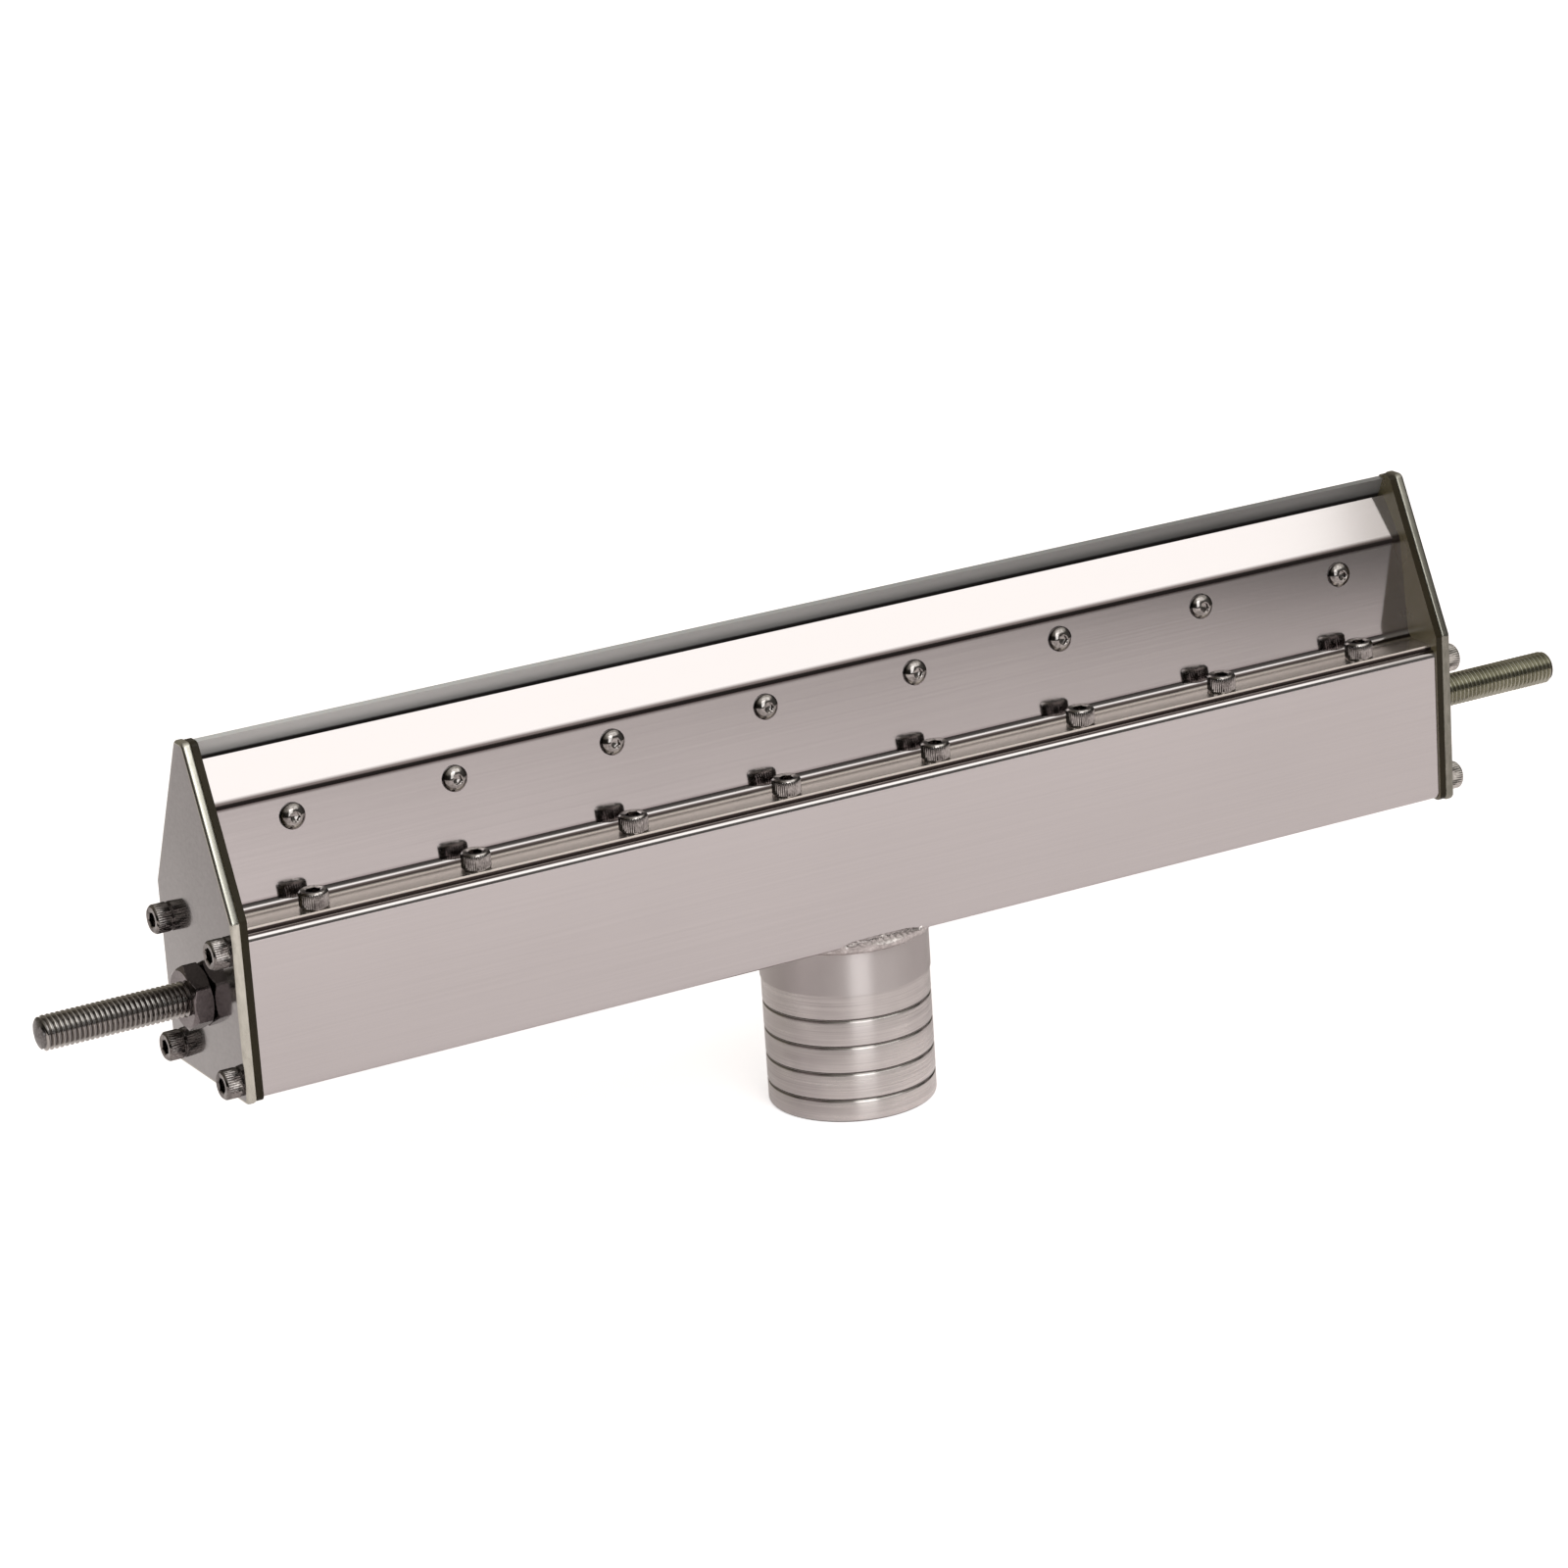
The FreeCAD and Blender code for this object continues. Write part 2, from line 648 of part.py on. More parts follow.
def cut_socket(body, flats, depth, head_height):
    socket = new_sketch(body, "socket", "XY_Plane", lift=head_height)
    draw_hexagon(socket, flats)
    pocket(body, socket, depth)
    return socket


def build_cap_screw(body, length):
    radius = cell("cap_head_radius")
    height = cell("cap_head_height")
    blank = draw_screw(body, cell("cap_screw_radius"), length, radius, height)
    bevel_edges(body, blank, ring_edges(blank, radius, [height]), cell("cap_head_edge"))
    return cut_socket(body, cell("cap_socket_flats"), cell("cap_socket_depth"), height)


def build_foot_screws():
    body = new_body("foot_screws")
    place(body, first_screw, f"-{half_depth} + {cell('foot_screw_setback')}", foot_top)
    socket = build_cap_screw(body, cell("foot_screw_length"))
    row_of(body, socket, [], screw_count, cell("screw_pitch"))
    return body


def build_lip_screws():
    body = new_body("lip_screws")
    lean = degrees("web_lean")
    seat_y = f"{web_foot} + {cell('lip_screw_rise')} * sin({lean})"
    seat_z = f"{foot_top} + {cell('lip_screw_rise')} * cos({lean})"
    place(body, first_screw, seat_y, seat_z, FreeCAD.Vector(1, 0, 0), f"90 deg - {lean}")
    radius = cell("button_head_radius")
    height = cell("button_head_height")
    blank = draw_screw(body, cell("lip_screw_radius"), cell("lip_screw_length"), radius, height)
    round_edges(body, blank, ring_edges(blank, radius, [height]), cell("button_head_round"))
    socket = cut_socket(body, cell("button_socket_flats"), cell("button_socket_depth"), height)
    row_of(body, socket, [], screw_count, cell("screw_pitch"))
    return body


def build_plate_screws(label, outward):
    # local Z points outward along X, and the first screw is the rear one at the bottom
    body = new_body(label)
    turn = f"{outward} * 90 deg"
    place(body, f"{outward} * {plate_outer}", plate_screw_side, plate_screw_low, FreeCAD.Vector(0, 1, 0), turn)
    socket = build_cap_screw(body, cell("plate_screw_length"))
    pattern = row_of(body, socket, [], "2", f"{plate_screw_high} - {plate_screw_low}")
    pattern.Reversed = outward > 0
    pattern.Direction2 = (socket, ["V_Axis"])
    pattern.Reversed2 = True
    pattern.Mode2 = "Spacing"
    pattern.setExpression("Offset2", f"2 * {plate_screw_side}")
    pattern.Occurrences2 = 2
    doc.recompute()
    return body


def build_stud(label, outward, reach):
    body = new_body(label)
    start = f"{outward} * ({plate_outer} + {reach} - {cell('stud_length')})"
    place(body, start, "0", cell("stud_height"), FreeCAD.Vector(0, 1, 0), f"{outward} * 90 deg")
    section = new_sketch(body, "section", "XY_Plane")
    draw_circle(section, "0", "0", cell("stud_radius"))
    rod = pad(body, section, cell("stud_length"))
    ends = ring_edges(rod, cell("stud_radius"), ["0", cell("stud_length")])
    bevel_edges(body, rod, ends, cell("stud_chamfer"))
    return body


def build_nut(label, left_face):
    # one corner of the hexagon points up, so a flat faces the front
    body = new_body(label)
    place(body, left_face, "0", cell("stud_height"), FreeCAD.Vector(0, 1, 0), "90 deg")
    flats = cell("nut_flats")
    height = cell("nut_height")
    section = new_sketch(body, "section", "XY_Plane")
    draw_hexagon(section, flats)
    draw_circle(section, "0", "0", f"{cell('stud_radius')} + {cell('thread_clearance')}")
    pad(body, section, height)
    corner = f"({flats} / 2 / cos(30 deg))"
    beyond = f"({corner} + {corner} - {flats} / 2)"
    drop = f"({beyond} - {flats} / 2) * tan(30 deg)"
    for name, level, down in (("top", height, 1), ("foot", "0", -1)):
        cone = new_sketch(body, name, "XZ_Plane")
        draw_outline(cone, [
            (f"{flats} / 2", level),
            (beyond, f"{level} - {down} * {drop}"),
            (beyond, level),
        ])
        groove(body, cone)
    return body


parts = [
    build_plenum_shell(),
    build_nozzle_plate(),
    build_inlet_spigot(),
    build_inlet_weld(),
    build_flange_bar(),
    build_tie_posts(),
    build_foot_screws(),
    build_lip_screws(),
]
ends = (
    ("left", -1, f"-{plate_outer}", f"-{plate_inner}", f"-{half_length}"),
    ("right", 1, plate_inner, half_length, f"{half_length} - {cell('block_length')}"),
)
for name, outward, plate_face, gasket_face, block_face in ends:
    parts.append(build_end_plate(f"end_plate_{name}", plate_face))
    parts.append(build_end_gasket(f"end_gasket_{name}", gasket_face))
    parts.append(build_corner_blocks(f"corner_blocks_{name}", block_face))
    parts.append(build_plate_screws(f"plate_screws_{name}", outward))
    parts.append(build_stud(f"stud_{name}", outward, cell(f"stud_reach_{name}")))
    shift = f"- {cell('nut_height')}"
    outer_face = f"-{plate_outer} {shift}" if outward < 0 else plate_outer
    inner_face = f"-{plate_inner}" if outward < 0 else f"{plate_inner} {shift}"
    parts.append(build_nut(f"outer_nut_{name}", outer_face))
    parts.append(build_nut(f"inner_nut_{name}", inner_face))

doc.recompute()
for item in doc.Objects:
    if "Invalid" in item.State or "Error" in item.State:
        raise RuntimeError(f"{item.Name} failed: {item.State}")
for part in parts:
    if part.Shape.isNull() or not part.Shape.isValid():
        raise RuntimeError(f"{part.Label} has no valid shape")

os.makedirs("parts", exist_ok=True)
for part in parts:
    part.Shape.exportStep(f"parts/{part.Label}.step")
    print(part.Label, len(part.Shape.Solids), round(part.Shape.Volume, 1), part.Shape.BoundBox)
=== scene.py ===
import math
import bmesh
import bpy
from mathutils import Matrix, Vector


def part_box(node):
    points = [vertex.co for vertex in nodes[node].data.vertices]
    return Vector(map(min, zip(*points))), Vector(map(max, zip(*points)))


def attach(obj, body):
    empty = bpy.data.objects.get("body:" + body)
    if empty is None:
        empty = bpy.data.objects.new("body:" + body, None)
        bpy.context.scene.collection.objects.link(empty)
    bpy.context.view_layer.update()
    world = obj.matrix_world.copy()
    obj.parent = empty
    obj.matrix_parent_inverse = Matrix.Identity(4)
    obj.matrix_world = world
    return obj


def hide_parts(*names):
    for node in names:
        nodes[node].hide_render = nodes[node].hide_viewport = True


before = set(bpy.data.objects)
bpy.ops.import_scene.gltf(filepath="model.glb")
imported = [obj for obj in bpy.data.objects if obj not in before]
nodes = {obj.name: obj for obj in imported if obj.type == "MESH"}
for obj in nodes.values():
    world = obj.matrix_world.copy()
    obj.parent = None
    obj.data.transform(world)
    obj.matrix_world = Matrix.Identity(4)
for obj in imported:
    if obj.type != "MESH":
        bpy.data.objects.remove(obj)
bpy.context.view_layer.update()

mm = 0.001
hair = 0.01 * mm                # two places closer than this are the same
joinWithin = 0.002 * mm
cutWithin = 0.001 * mm
sixth = math.radians(60)        # of a turn, from one flat of a hexagon to the next
print("frame loaded:", len(nodes), "pieces")


# Colours and nodes

def linear(hexCode):
    # sRGB hex to the linear colour that the shaders want
    levels = []
    for start in (1, 3, 5):
        value = int(hexCode[start:start + 2], 16) / 255
        levels.append(value / 12.92 if value <= 0.04045 else ((value + 0.055) / 1.055) ** 2.4)
    return (*levels, 1.0)


def addNode(tree, kind, settings=None, links=None):
    # sockets go by name or number: a Mix node of colours has 0, 6 and 7, and its result is output 2
    node = tree.nodes.new(kind)
    for key, value in (settings or {}).items():
        if isinstance(key, int) or key in node.inputs:
            node.inputs[key].default_value = value
        else:
            setattr(node, key, value)
    for key, source in (links or {}).items():
        tree.links.new(source, node.inputs[key])
    return node


def newMaterial(name):
    material = bpy.data.materials.new(name)
    material.use_nodes = True
    material.node_tree.nodes.clear()
    return material, material.node_tree


# Stainless steel is a warm mid grey metal. What changes from piece to piece is how it was worked, and on
# some pieces painted light and shade.

steel = {
    "grainDetail": 4.0, "grainRoughness": 0.6,
    "cloudDetail": 3.0, "cloudRoughness": 0.55,
    "dullUnder": 0.7, "brightOver": 1.3,    # of grain and clouds added up
}


def paintShadeAndOil(tree, position, hollow, look):
    # the tool leaves a smoother floor in grooves and threads; there the colour is painted darker as painted
    # shade, and in the right stud's roots it is pale, greenish old oil
    fromAxis = addNode(tree, "ShaderNodeVectorMath",
                       {"operation": "MULTIPLY_ADD", 1: hollow["across"], 2: hollow["shift"]}, {0: position})
    radius = addNode(tree, "ShaderNodeVectorMath", {"operation": "LENGTH"}, {0: fromAxis.outputs["Vector"]})
    outside = addNode(tree, "ShaderNodeMapRange", {"From Min": hollow["from"], "From Max": hollow["to"]},
                      {"Value": radius.outputs["Value"]})
    inside = addNode(tree, "ShaderNodeMath", {"operation": "LESS_THAN", 1: hollow["core"]},
                     {0: radius.outputs["Value"]})
    outsideHollow = addNode(tree, "ShaderNodeMath", {"operation": "MAXIMUM"},
                    {0: outside.outputs["Result"], 1: inside.outputs["Value"]})
    shadeAndOil = addNode(tree, "ShaderNodeMix", {"data_type": "RGBA", 6: linear(hollow["colour"])},
                   {0: outsideHollow.outputs["Value"], 7: look["colour"]})
    cut = addNode(tree, "ShaderNodeMix", {"data_type": "FLOAT", 2: hollow["roughness"]},
                  {0: outsideHollow.outputs["Value"], 3: look["roughness"]})
    look["colour"] = shadeAndOil.outputs[2]
    look["roughness"] = cut.outputs[0]


def rearFaces(tree):
    # 1 where the sheet looks to the rear
    surface = addNode(tree, "ShaderNodeNewGeometry")
    facing = addNode(tree, "ShaderNodeSeparateXYZ", None, {"Vector": surface.outputs["True Normal"]})
    rear = addNode(tree, "ShaderNodeMath", {"operation": "GREATER_THAN", 1: 0.0}, {0: facing.outputs["Y"]})
    return rear.outputs["Value"]


def without(tree, share, rear):
    # the share again, but none of it on faces that look to the rear
    if rear is None:
        return share
    front = addNode(tree, "ShaderNodeMath", {"operation": "SUBTRACT", "use_clamp": True},
                    {0: share, 1: rear})
    return front.outputs["Value"]


def workZone(tree, axes, rear, zone, look):
    # the sheet or tube is worked another way from one height on
    reach = addNode(tree, "ShaderNodeMapRange", {"From Min": zone["from"], "From Max": zone["to"]},
                    {"Value": axes.outputs["Z"]})
    share = without(tree, reach.outputs["Result"], rear)
    blend = addNode(tree, "ShaderNodeMix", {"data_type": "RGBA", 7: linear(zone["colour"])},
                    {0: share, 6: look["colour"]})
    if "shadedRightColour" in zone:       # and is painted darker along its length, as painted shade
        start, end = zone["shadeTurnsRight"]
        along = addNode(tree, "ShaderNodeMapRange", {"From Min": start, "From Max": end},
                        {"Value": axes.outputs["X"]})
        paintedShadeAlong = addNode(tree, "ShaderNodeMix",
                         {"data_type": "RGBA", 6: linear(zone["colour"]), 7: linear(zone["shadedRightColour"])},
                         {0: along.outputs["Result"]})
        tree.links.new(paintedShadeAlong.outputs[2], blend.inputs[7])
    dulled = addNode(tree, "ShaderNodeMix", {"data_type": "FLOAT", 3: zone["roughness"]},
                     {0: share, 2: look["roughness"]})
    look["colour"] = blend.outputs[2]
    look["roughness"] = dulled.outputs[0]
    if "metallic" in zone:
        bare = addNode(tree, "ShaderNodeMapRange", {"To Min": 1.0, "To Max": zone["metallic"]},
                       {"Value": share})
        look["metallic"] = bare.outputs["Result"]


def paintLightLine(tree, axes, rear, line, look):
    # a level line with soft edges in another colour: painted shade, and on the front sheet's lip a band of
    # painted light
    height, half, soft, lineColour = line
    offset = addNode(tree, "ShaderNodeMath", {"operation": "SUBTRACT", 1: height * mm},
                     {0: axes.outputs["Z"]})
    away = addNode(tree, "ShaderNodeMath", {"operation": "ABSOLUTE"}, {0: offset.outputs["Value"]})
    near = addNode(tree, "ShaderNodeMapRange",
                   {"From Min": (half - soft) * mm, "From Max": (half + soft) * mm,
                    "To Min": 1.0, "To Max": 0.0},
                   {"Value": away.outputs["Value"]})
    pressed = addNode(tree, "ShaderNodeMix", {"data_type": "RGBA", 7: linear(lineColour)},
                      {0: without(tree, near.outputs["Result"], rear), 6: look["colour"]})
    look["colour"] = pressed.outputs[2]


def stainlessFinish(name, finish):
    material, tree = newMaterial(name)
    place = addNode(tree, "ShaderNodeTexCoord")
    position = place.outputs["Object"]
    perMetre = [1 / (size * mm) for size in finish["grain"]]
    stretch = addNode(tree, "ShaderNodeMapping", {"Scale": perMetre}, {"Vector": position})
    grain = addNode(tree, "ShaderNodeTexNoise",
                    {"Scale": 1.0, "Detail": steel["grainDetail"], "Roughness": steel["grainRoughness"]},
                    {"Vector": stretch.outputs["Vector"]})
    clouds = addNode(tree, "ShaderNodeTexNoise",
                     {"Scale": 1 / (finish["clouds"] * mm), "Detail": steel["cloudDetail"],
                      "Roughness": steel["cloudRoughness"]},
                     {"Vector": position})
    wear = addNode(tree, "ShaderNodeMath", {"operation": "ADD"},
                   {0: grain.outputs["Fac"], 1: clouds.outputs["Fac"]})
    tone = addNode(tree, "ShaderNodeMapRange",
                   {"From Min": steel["dullUnder"], "From Max": steel["brightOver"]},
                   {"Value": wear.outputs["Value"]})
    shade = addNode(tree, "ShaderNodeMix",
                    {"data_type": "RGBA", 6: linear(finish["dull"]), 7: linear(finish["bright"])},
                    {0: tone.outputs["Result"]})
    gloss = addNode(tree, "ShaderNodeMapRange", {"To Min": finish["rough"], "To Max": finish["smooth"]},
                    {"Value": tone.outputs["Result"]})
    look = {"colour": shade.outputs[2], "roughness": gloss.outputs["Result"]}
    if "hollow" in finish:
        paintShadeAndOil(tree, position, finish["hollow"], look)
    if "zone" in finish or "lines" in finish:
        axes = addNode(tree, "ShaderNodeSeparateXYZ", None, {"Vector": position})
        rear = rearFaces(tree) if finish.get("frontOnly") else None
        if "zone" in finish:
            workZone(tree, axes, rear, finish["zone"], look)
        for line in finish.get("lines", ()):
            paintLightLine(tree, axes, rear, line, look)
    relief = addNode(tree, "ShaderNodeBump",
                     {"Strength": finish["bite"], "Distance": finish["scratchDepth"]},
                     {"Height": grain.outputs["Fac"]})
    upright = addNode(tree, "ShaderNodeCombineXYZ", {"Z": 1.0})     # light smears across the level scratches
    metal = addNode(tree, "ShaderNodeBsdfPrincipled",
                    {"Metallic": 1.0, "Anisotropic": finish.get("smear", 0.0)},
                    {"Base Color": look["colour"], "Roughness": look["roughness"],
                     "Normal": relief.outputs["Normal"], "Tangent": upright.outputs["Vector"]})
    if "metallic" in look:
        tree.links.new(look["metallic"], metal.inputs["Metallic"])
    addNode(tree, "ShaderNodeOutputMaterial", None, {"Surface": metal.outputs["BSDF"]})
    return material


# Grain is given by its size along X, Y and Z, and clouds of wear by theirs, in mm.

# cold rolled sheet, bright annealed: almost a mirror, with a faint grain along the rolling direction
brightSheet = {
    "dull": "#BAB4B4", "bright": "#C0BABA",
    "smooth": 0.09, "rough": 0.12, "smear": 0.5,
    "grain": (83.3, 0.385, 0.385),
    "clouds": 111.0,
    "bite": 0.05, "scratchDepth": 0.02 * mm,
}
# the front sheet: a satin foot painted lighter as painted light, painted shade in dark lines along its folds
# and along the foot's cut edge, and painted light on the lip
nozzleSheet = stainlessFinish("sheet_with_painted_folds_and_lip", brightSheet | {
    "dull": "#B0AAAA", "bright": "#B6B0B0",
    # the foot: rougher, and painted lighter as painted light
    "zone": {"from": 104.0 * mm, "to": 103.5 * mm, "roughness": 0.27, "colour": "#D6CFC8"},
    "lines": (      # height, half width and softness in mm
        (140.7, 6.0, 0.30, "#BBB5B5"),      # the lip, painted lighter: painted light
        (133.95, 1.2, 0.40, "#5C5352"),     # its fold: painted shade
        (105.9, 0.4, 0.40, "#8C8283"),      # above the foot's fold: painted shade
        (104.05, 0.4, 0.15, "#463E3C"),     # in the foot's fold: painted shade
        (102.2, 0.5, 0.15, "#3A3230"),      # along the foot's cut edge: painted shade
    ),
})
# the main sheet: its rear lip is linished to a dull, even grey that is painted darker towards the right, as
# painted shade, with painted shade in a dark line at the slot's mouth
lippedSheet = stainlessFinish("sheet_with_linished_lip_and_painted_shade", brightSheet | {
    "frontOnly": True,
    "zone": {
        "from": 141.5 * mm, "to": 143.0 * mm, "roughness": 0.36, "metallic": 0.35,
        # the rear lip's colour turns darker towards the right: painted shade
        "colour": "#C8C7C6", "shadedRightColour": "#807F7E", "shadeTurnsRight": (-170.0 * mm, 140.0 * mm),
    },
    "lines": (
        (145.55, 0.75, 0.30, "#3A3635"),    # painted shade at the slot's mouth
        (101.5, 0.2, 0.10, "#5A5150"),      # painted shade along the flange's bend
    ),
})

# plate cut by laser and tumbled: soft mirror, so the rounded rims shine
tumbledPlate = stainlessFinish("tumbled_plate", {
    "dull": "#908D8D", "bright": "#9E9B9B",
    "smooth": 0.09, "rough": 0.16,
    "grain": (1.11, 1.43, 1.11),
    "clouds": 71.4,
    "bite": 0.06, "scratchDepth": 0.02 * mm,
})

# the plate's rim is polished round after cutting, and the right plate's rim is rougher and painted darker,
# as painted shade
rimFinish = {
    "dull": "#B3B0A6", "bright": "#CAC7BD",
    "smooth": 0.20, "rough": 0.32,
    "grain": (1.11, 3.33, 3.33),
    "clouds": 16.7,
    "bite": 0.08, "scratchDepth": 0.02 * mm,
}
polishedRim = stainlessFinish("polished_rim", rimFinish)
shadedRim = stainlessFinish("painted_shade_rim", rimFinish | {
    "dull": "#77756C", "bright": "#96938A", "rough": 0.40,
})

# tube turned on a lathe: rings around the axis smear the light up and down
turnedTube = stainlessFinish("turned_tube", {
    "dull": "#B8B1B0", "bright": "#DAD4D1",
    "smooth": 0.24, "rough": 0.34, "smear": 0.95,
    "grain": (33.3, 33.3, 0.333),       # tool marks, drawn this coarse so that they show
    "clouds": 33.3,
    "bite": 0.30, "scratchDepth": 0.03 * mm,
    "hollow": {     # the grooves, and not the bore; their colour is painted darker there, as painted shade
        "across": (1, 1, 0), "shift": (0, 0, 0),
        "core": 23.8 * mm, "from": 24.75 * mm, "to": 24.97 * mm,
        "roughness": 0.12, "colour": "#7C7774",
    },
    # above the land it is left duller
    "zone": {"from": 39.4 * mm, "to": 39.7 * mm, "roughness": 0.38, "colour": "#C4BDBC"},
})

# weld bead, brushed clean: frosty and a little darker than the sheet
brushedWeld = stainlessFinish("brushed_weld", {
    "dull": "#A69E9C", "bright": "#D8D1CF",
    "smooth": 0.34, "rough": 0.55,
    "grain": (0.769, 0.769, 0.769),
    "clouds": 2.0,
    "bite": 0.80, "scratchDepth": 0.14 * mm,
})

# cold forged screws: darker than the sheet, with small bright facets and soft edges
forgedFinish = {
    "dull": "#655F5D", "bright": "#B0AAA7",
    "smooth": 0.07, "rough": 0.16,
    "grain": (0.667, 0.667, 0.667),
    "clouds": 3.33,
    "bite": 0.12, "scratchDepth": 0.03 * mm,
}
forgedFastener = stainlessFinish("forged_fastener", forgedFinish)
# the left plate's screws are painted darker, as painted shade, and the right plate's lighter, as painted
# light
shadedFastener = stainlessFinish("painted_shade_fastener", forgedFinish | {"dull": "#524D4C", "bright": "#9A9491"})
litFastener = stainlessFinish("painted_light_fastener", forgedFinish | {"dull": "#9C9793", "bright": "#CFCAC6"})
# the low edge of a button head is painted nearly black, as painted shade
shadedHeadEdge = stainlessFinish("painted_shade_head_edge", forgedFinish | {
    "dull": "#2E2B2A", "bright": "#5C5755", "rough": 0.24,
})
# the thin nuts are painted darker, as painted shade
shadedNut = stainlessFinish("painted_shade_nut", forgedFinish | {
    "dull": "#5A5354", "bright": "#8A8283", "clouds": 7.14,
})
# a sawn and turned stud end is dull and grey
sawnEnd = stainlessFinish("sawn_stud_end", forgedFinish | {
    "dull": "#4E4B4B", "bright": "#8E8A89", "smooth": 0.20, "rough": 0.36,
})

# rolled thread: burnished crests and flanks
threadFinish = {
    "dull": "#9C9895", "bright": "#B8B3AF",
    "smooth": 0.10, "rough": 0.20,
    "grain": (0.4, 2.0, 2.0),
    "clouds": 11.1,
    "bite": 0.12, "scratchDepth": 0.02 * mm,
    "hollow": {     # the roots, and not the middle of the ends; on the left stud their colour is painted darker there, as painted shade
        "across": (0, 1, 1), "shift": (0, 0, -79.3 * mm),
        "core": 3.3 * mm, "from": 4.1 * mm, "to": 4.6 * mm,
        "roughness": 0.2, "colour": "#7E7A78",
    },
}
rolledThread = stainlessFinish("rolled_thread", threadFinish)
# the right stud has old oil in its roots, pale and greenish
oiledThread = stainlessFinish("oiled_thread", threadFinish | {
    "dull": "#9B998B", "bright": "#BDBBAE",
    "hollow": threadFinish["hollow"] | {"colour": "#A19F90", "roughness": 0.3},
})

# plain milled bar inside the plenum: even grey with short cutter marks
milledBar = stainlessFinish("milled_bar", {
    "dull": "#A19B98", "bright": "#ADA6A2",
    "smooth": 0.28, "rough": 0.40,
    "grain": (0.625, 5.0, 5.0),
    "clouds": 16.7,
    "bite": 0.20, "scratchDepth": 0.03 * mm,
})

# pressed nitrile rubber: half gloss and olive bloom on its faces, a fine cloth mark, and black cut edges
nitrile = {
    "ior": 1.52,
    "cut": "#211C13", "cutBloom": "#332D1F", "face": "#665E46",
    "cutShine": 0.12, "faceShine": 1.0,
    "smooth": 0.24, "rough": 0.36,
    "bloom": 14.3,              # size of a patch in mm
    "bloomUnder": 0.3, "bloomOver": 0.7,
    "cloth": 0.556,             # thread of the cloth in mm
    "bite": 0.25, "clothDepth": 0.03 * mm,
}


def nitrileSheet():
    material, tree = newMaterial("nitrile_sheet")
    place = addNode(tree, "ShaderNodeTexCoord")
    cloth = addNode(tree, "ShaderNodeTexNoise", {"Scale": 1 / (nitrile["cloth"] * mm), "Detail": 2.0},
                    {"Vector": place.outputs["Object"]})
    bloom = addNode(tree, "ShaderNodeTexNoise", {"Scale": 1 / (nitrile["bloom"] * mm), "Detail": 4.0},
                    {"Vector": place.outputs["Object"]})
    tone = addNode(tree, "ShaderNodeMix",
                   {"data_type": "RGBA", 6: linear(nitrile["cut"]), 7: linear(nitrile["cutBloom"])},
                   {0: bloom.outputs["Fac"]})
    gloss = addNode(tree, "ShaderNodeMapRange",
                    {"From Min": nitrile["bloomUnder"], "From Max": nitrile["bloomOver"],
                     "To Min": nitrile["smooth"], "To Max": nitrile["rough"]},
                    {"Value": bloom.outputs["Fac"]})
    surface = addNode(tree, "ShaderNodeNewGeometry")
    facing = addNode(tree, "ShaderNodeSeparateXYZ", None, {"Vector": surface.outputs["Normal"]})
    pressed = addNode(tree, "ShaderNodeMath", {"operation": "ABSOLUTE"}, {0: facing.outputs["X"]})
    shine = addNode(tree, "ShaderNodeMapRange",
                    {"To Min": nitrile["cutShine"], "To Max": nitrile["faceShine"]},
                    {"Value": pressed.outputs["Value"]})
    olive = addNode(tree, "ShaderNodeMix", {"data_type": "RGBA", 7: linear(nitrile["face"])},
                    {0: pressed.outputs["Value"], 6: tone.outputs[2]})
    relief = addNode(tree, "ShaderNodeBump",
                     {"Strength": nitrile["bite"], "Distance": nitrile["clothDepth"]},
                     {"Height": cloth.outputs["Fac"]})
    rubber = addNode(tree, "ShaderNodeBsdfPrincipled", {"IOR": nitrile["ior"]},
                     {"Base Color": olive.outputs[2], "Roughness": gloss.outputs["Result"],
                      "Normal": relief.outputs["Normal"], "Specular IOR Level": shine.outputs["Result"]})
    addNode(tree, "ShaderNodeOutputMaterial", None, {"Surface": rubber.outputs["BSDF"]})
    return material


gasketRubber = nitrileSheet()
print("finishes made")


# CAD pieces keep their shape and take their finish

finishOfNode = {
    "plenum_shell": lippedSheet,
    "nozzle_plate": nozzleSheet,
    "end_plate_left": tumbledPlate,
    "end_plate_right": tumbledPlate,
    "end_gasket_left": gasketRubber,
    "end_gasket_right": gasketRubber,
    "inlet_spigot": turnedTube,
    "inlet_weld": brushedWeld,
    "foot_screws": forgedFastener,
    "lip_screws": forgedFastener,
    "plate_screws_left": shadedFastener,
    "plate_screws_right": litFastener,
    "outer_nut_left": shadedNut,
    "outer_nut_right": shadedNut,
    "inner_nut_left": shadedNut,
    "inner_nut_right": shadedNut,
    "stud_left": rolledThread,
    "stud_right": oiledThread,
    "flange_bar": milledBar,
    "tie_posts": milledBar,
    "corner_blocks_left": milledBar,
    "corner_blocks_right": milledBar,
}
for nodeName, finish in finishOfNode.items():
    mesh = nodes[nodeName].data
    mesh.materials.clear()
    mesh.materials.append(finish)
print("CAD pieces finished:", len(finishOfNode))


# Mesh helpers

def spinProfile(bm, points, steps):
    # turns a chain of (radius, height) points about Z, and joins the ring to itself
    chain = [bm.verts.new((radius, 0, height)) for radius, height in points]
    edges = [bm.edges.new(pair) for pair in zip(chain, chain[1:])]
    bmesh.ops.spin(bm, geom=chain + edges, cent=(0, 0, 0), axis=(0, 0, 1), dvec=(0, 0, 0),
                   angle=2 * math.pi, steps=steps, use_merge=True, use_duplicate=False)
    bmesh.ops.remove_doubles(bm, verts=bm.verts[:], dist=joinWithin)
    bmesh.ops.recalc_face_normals(bm, faces=bm.faces[:])


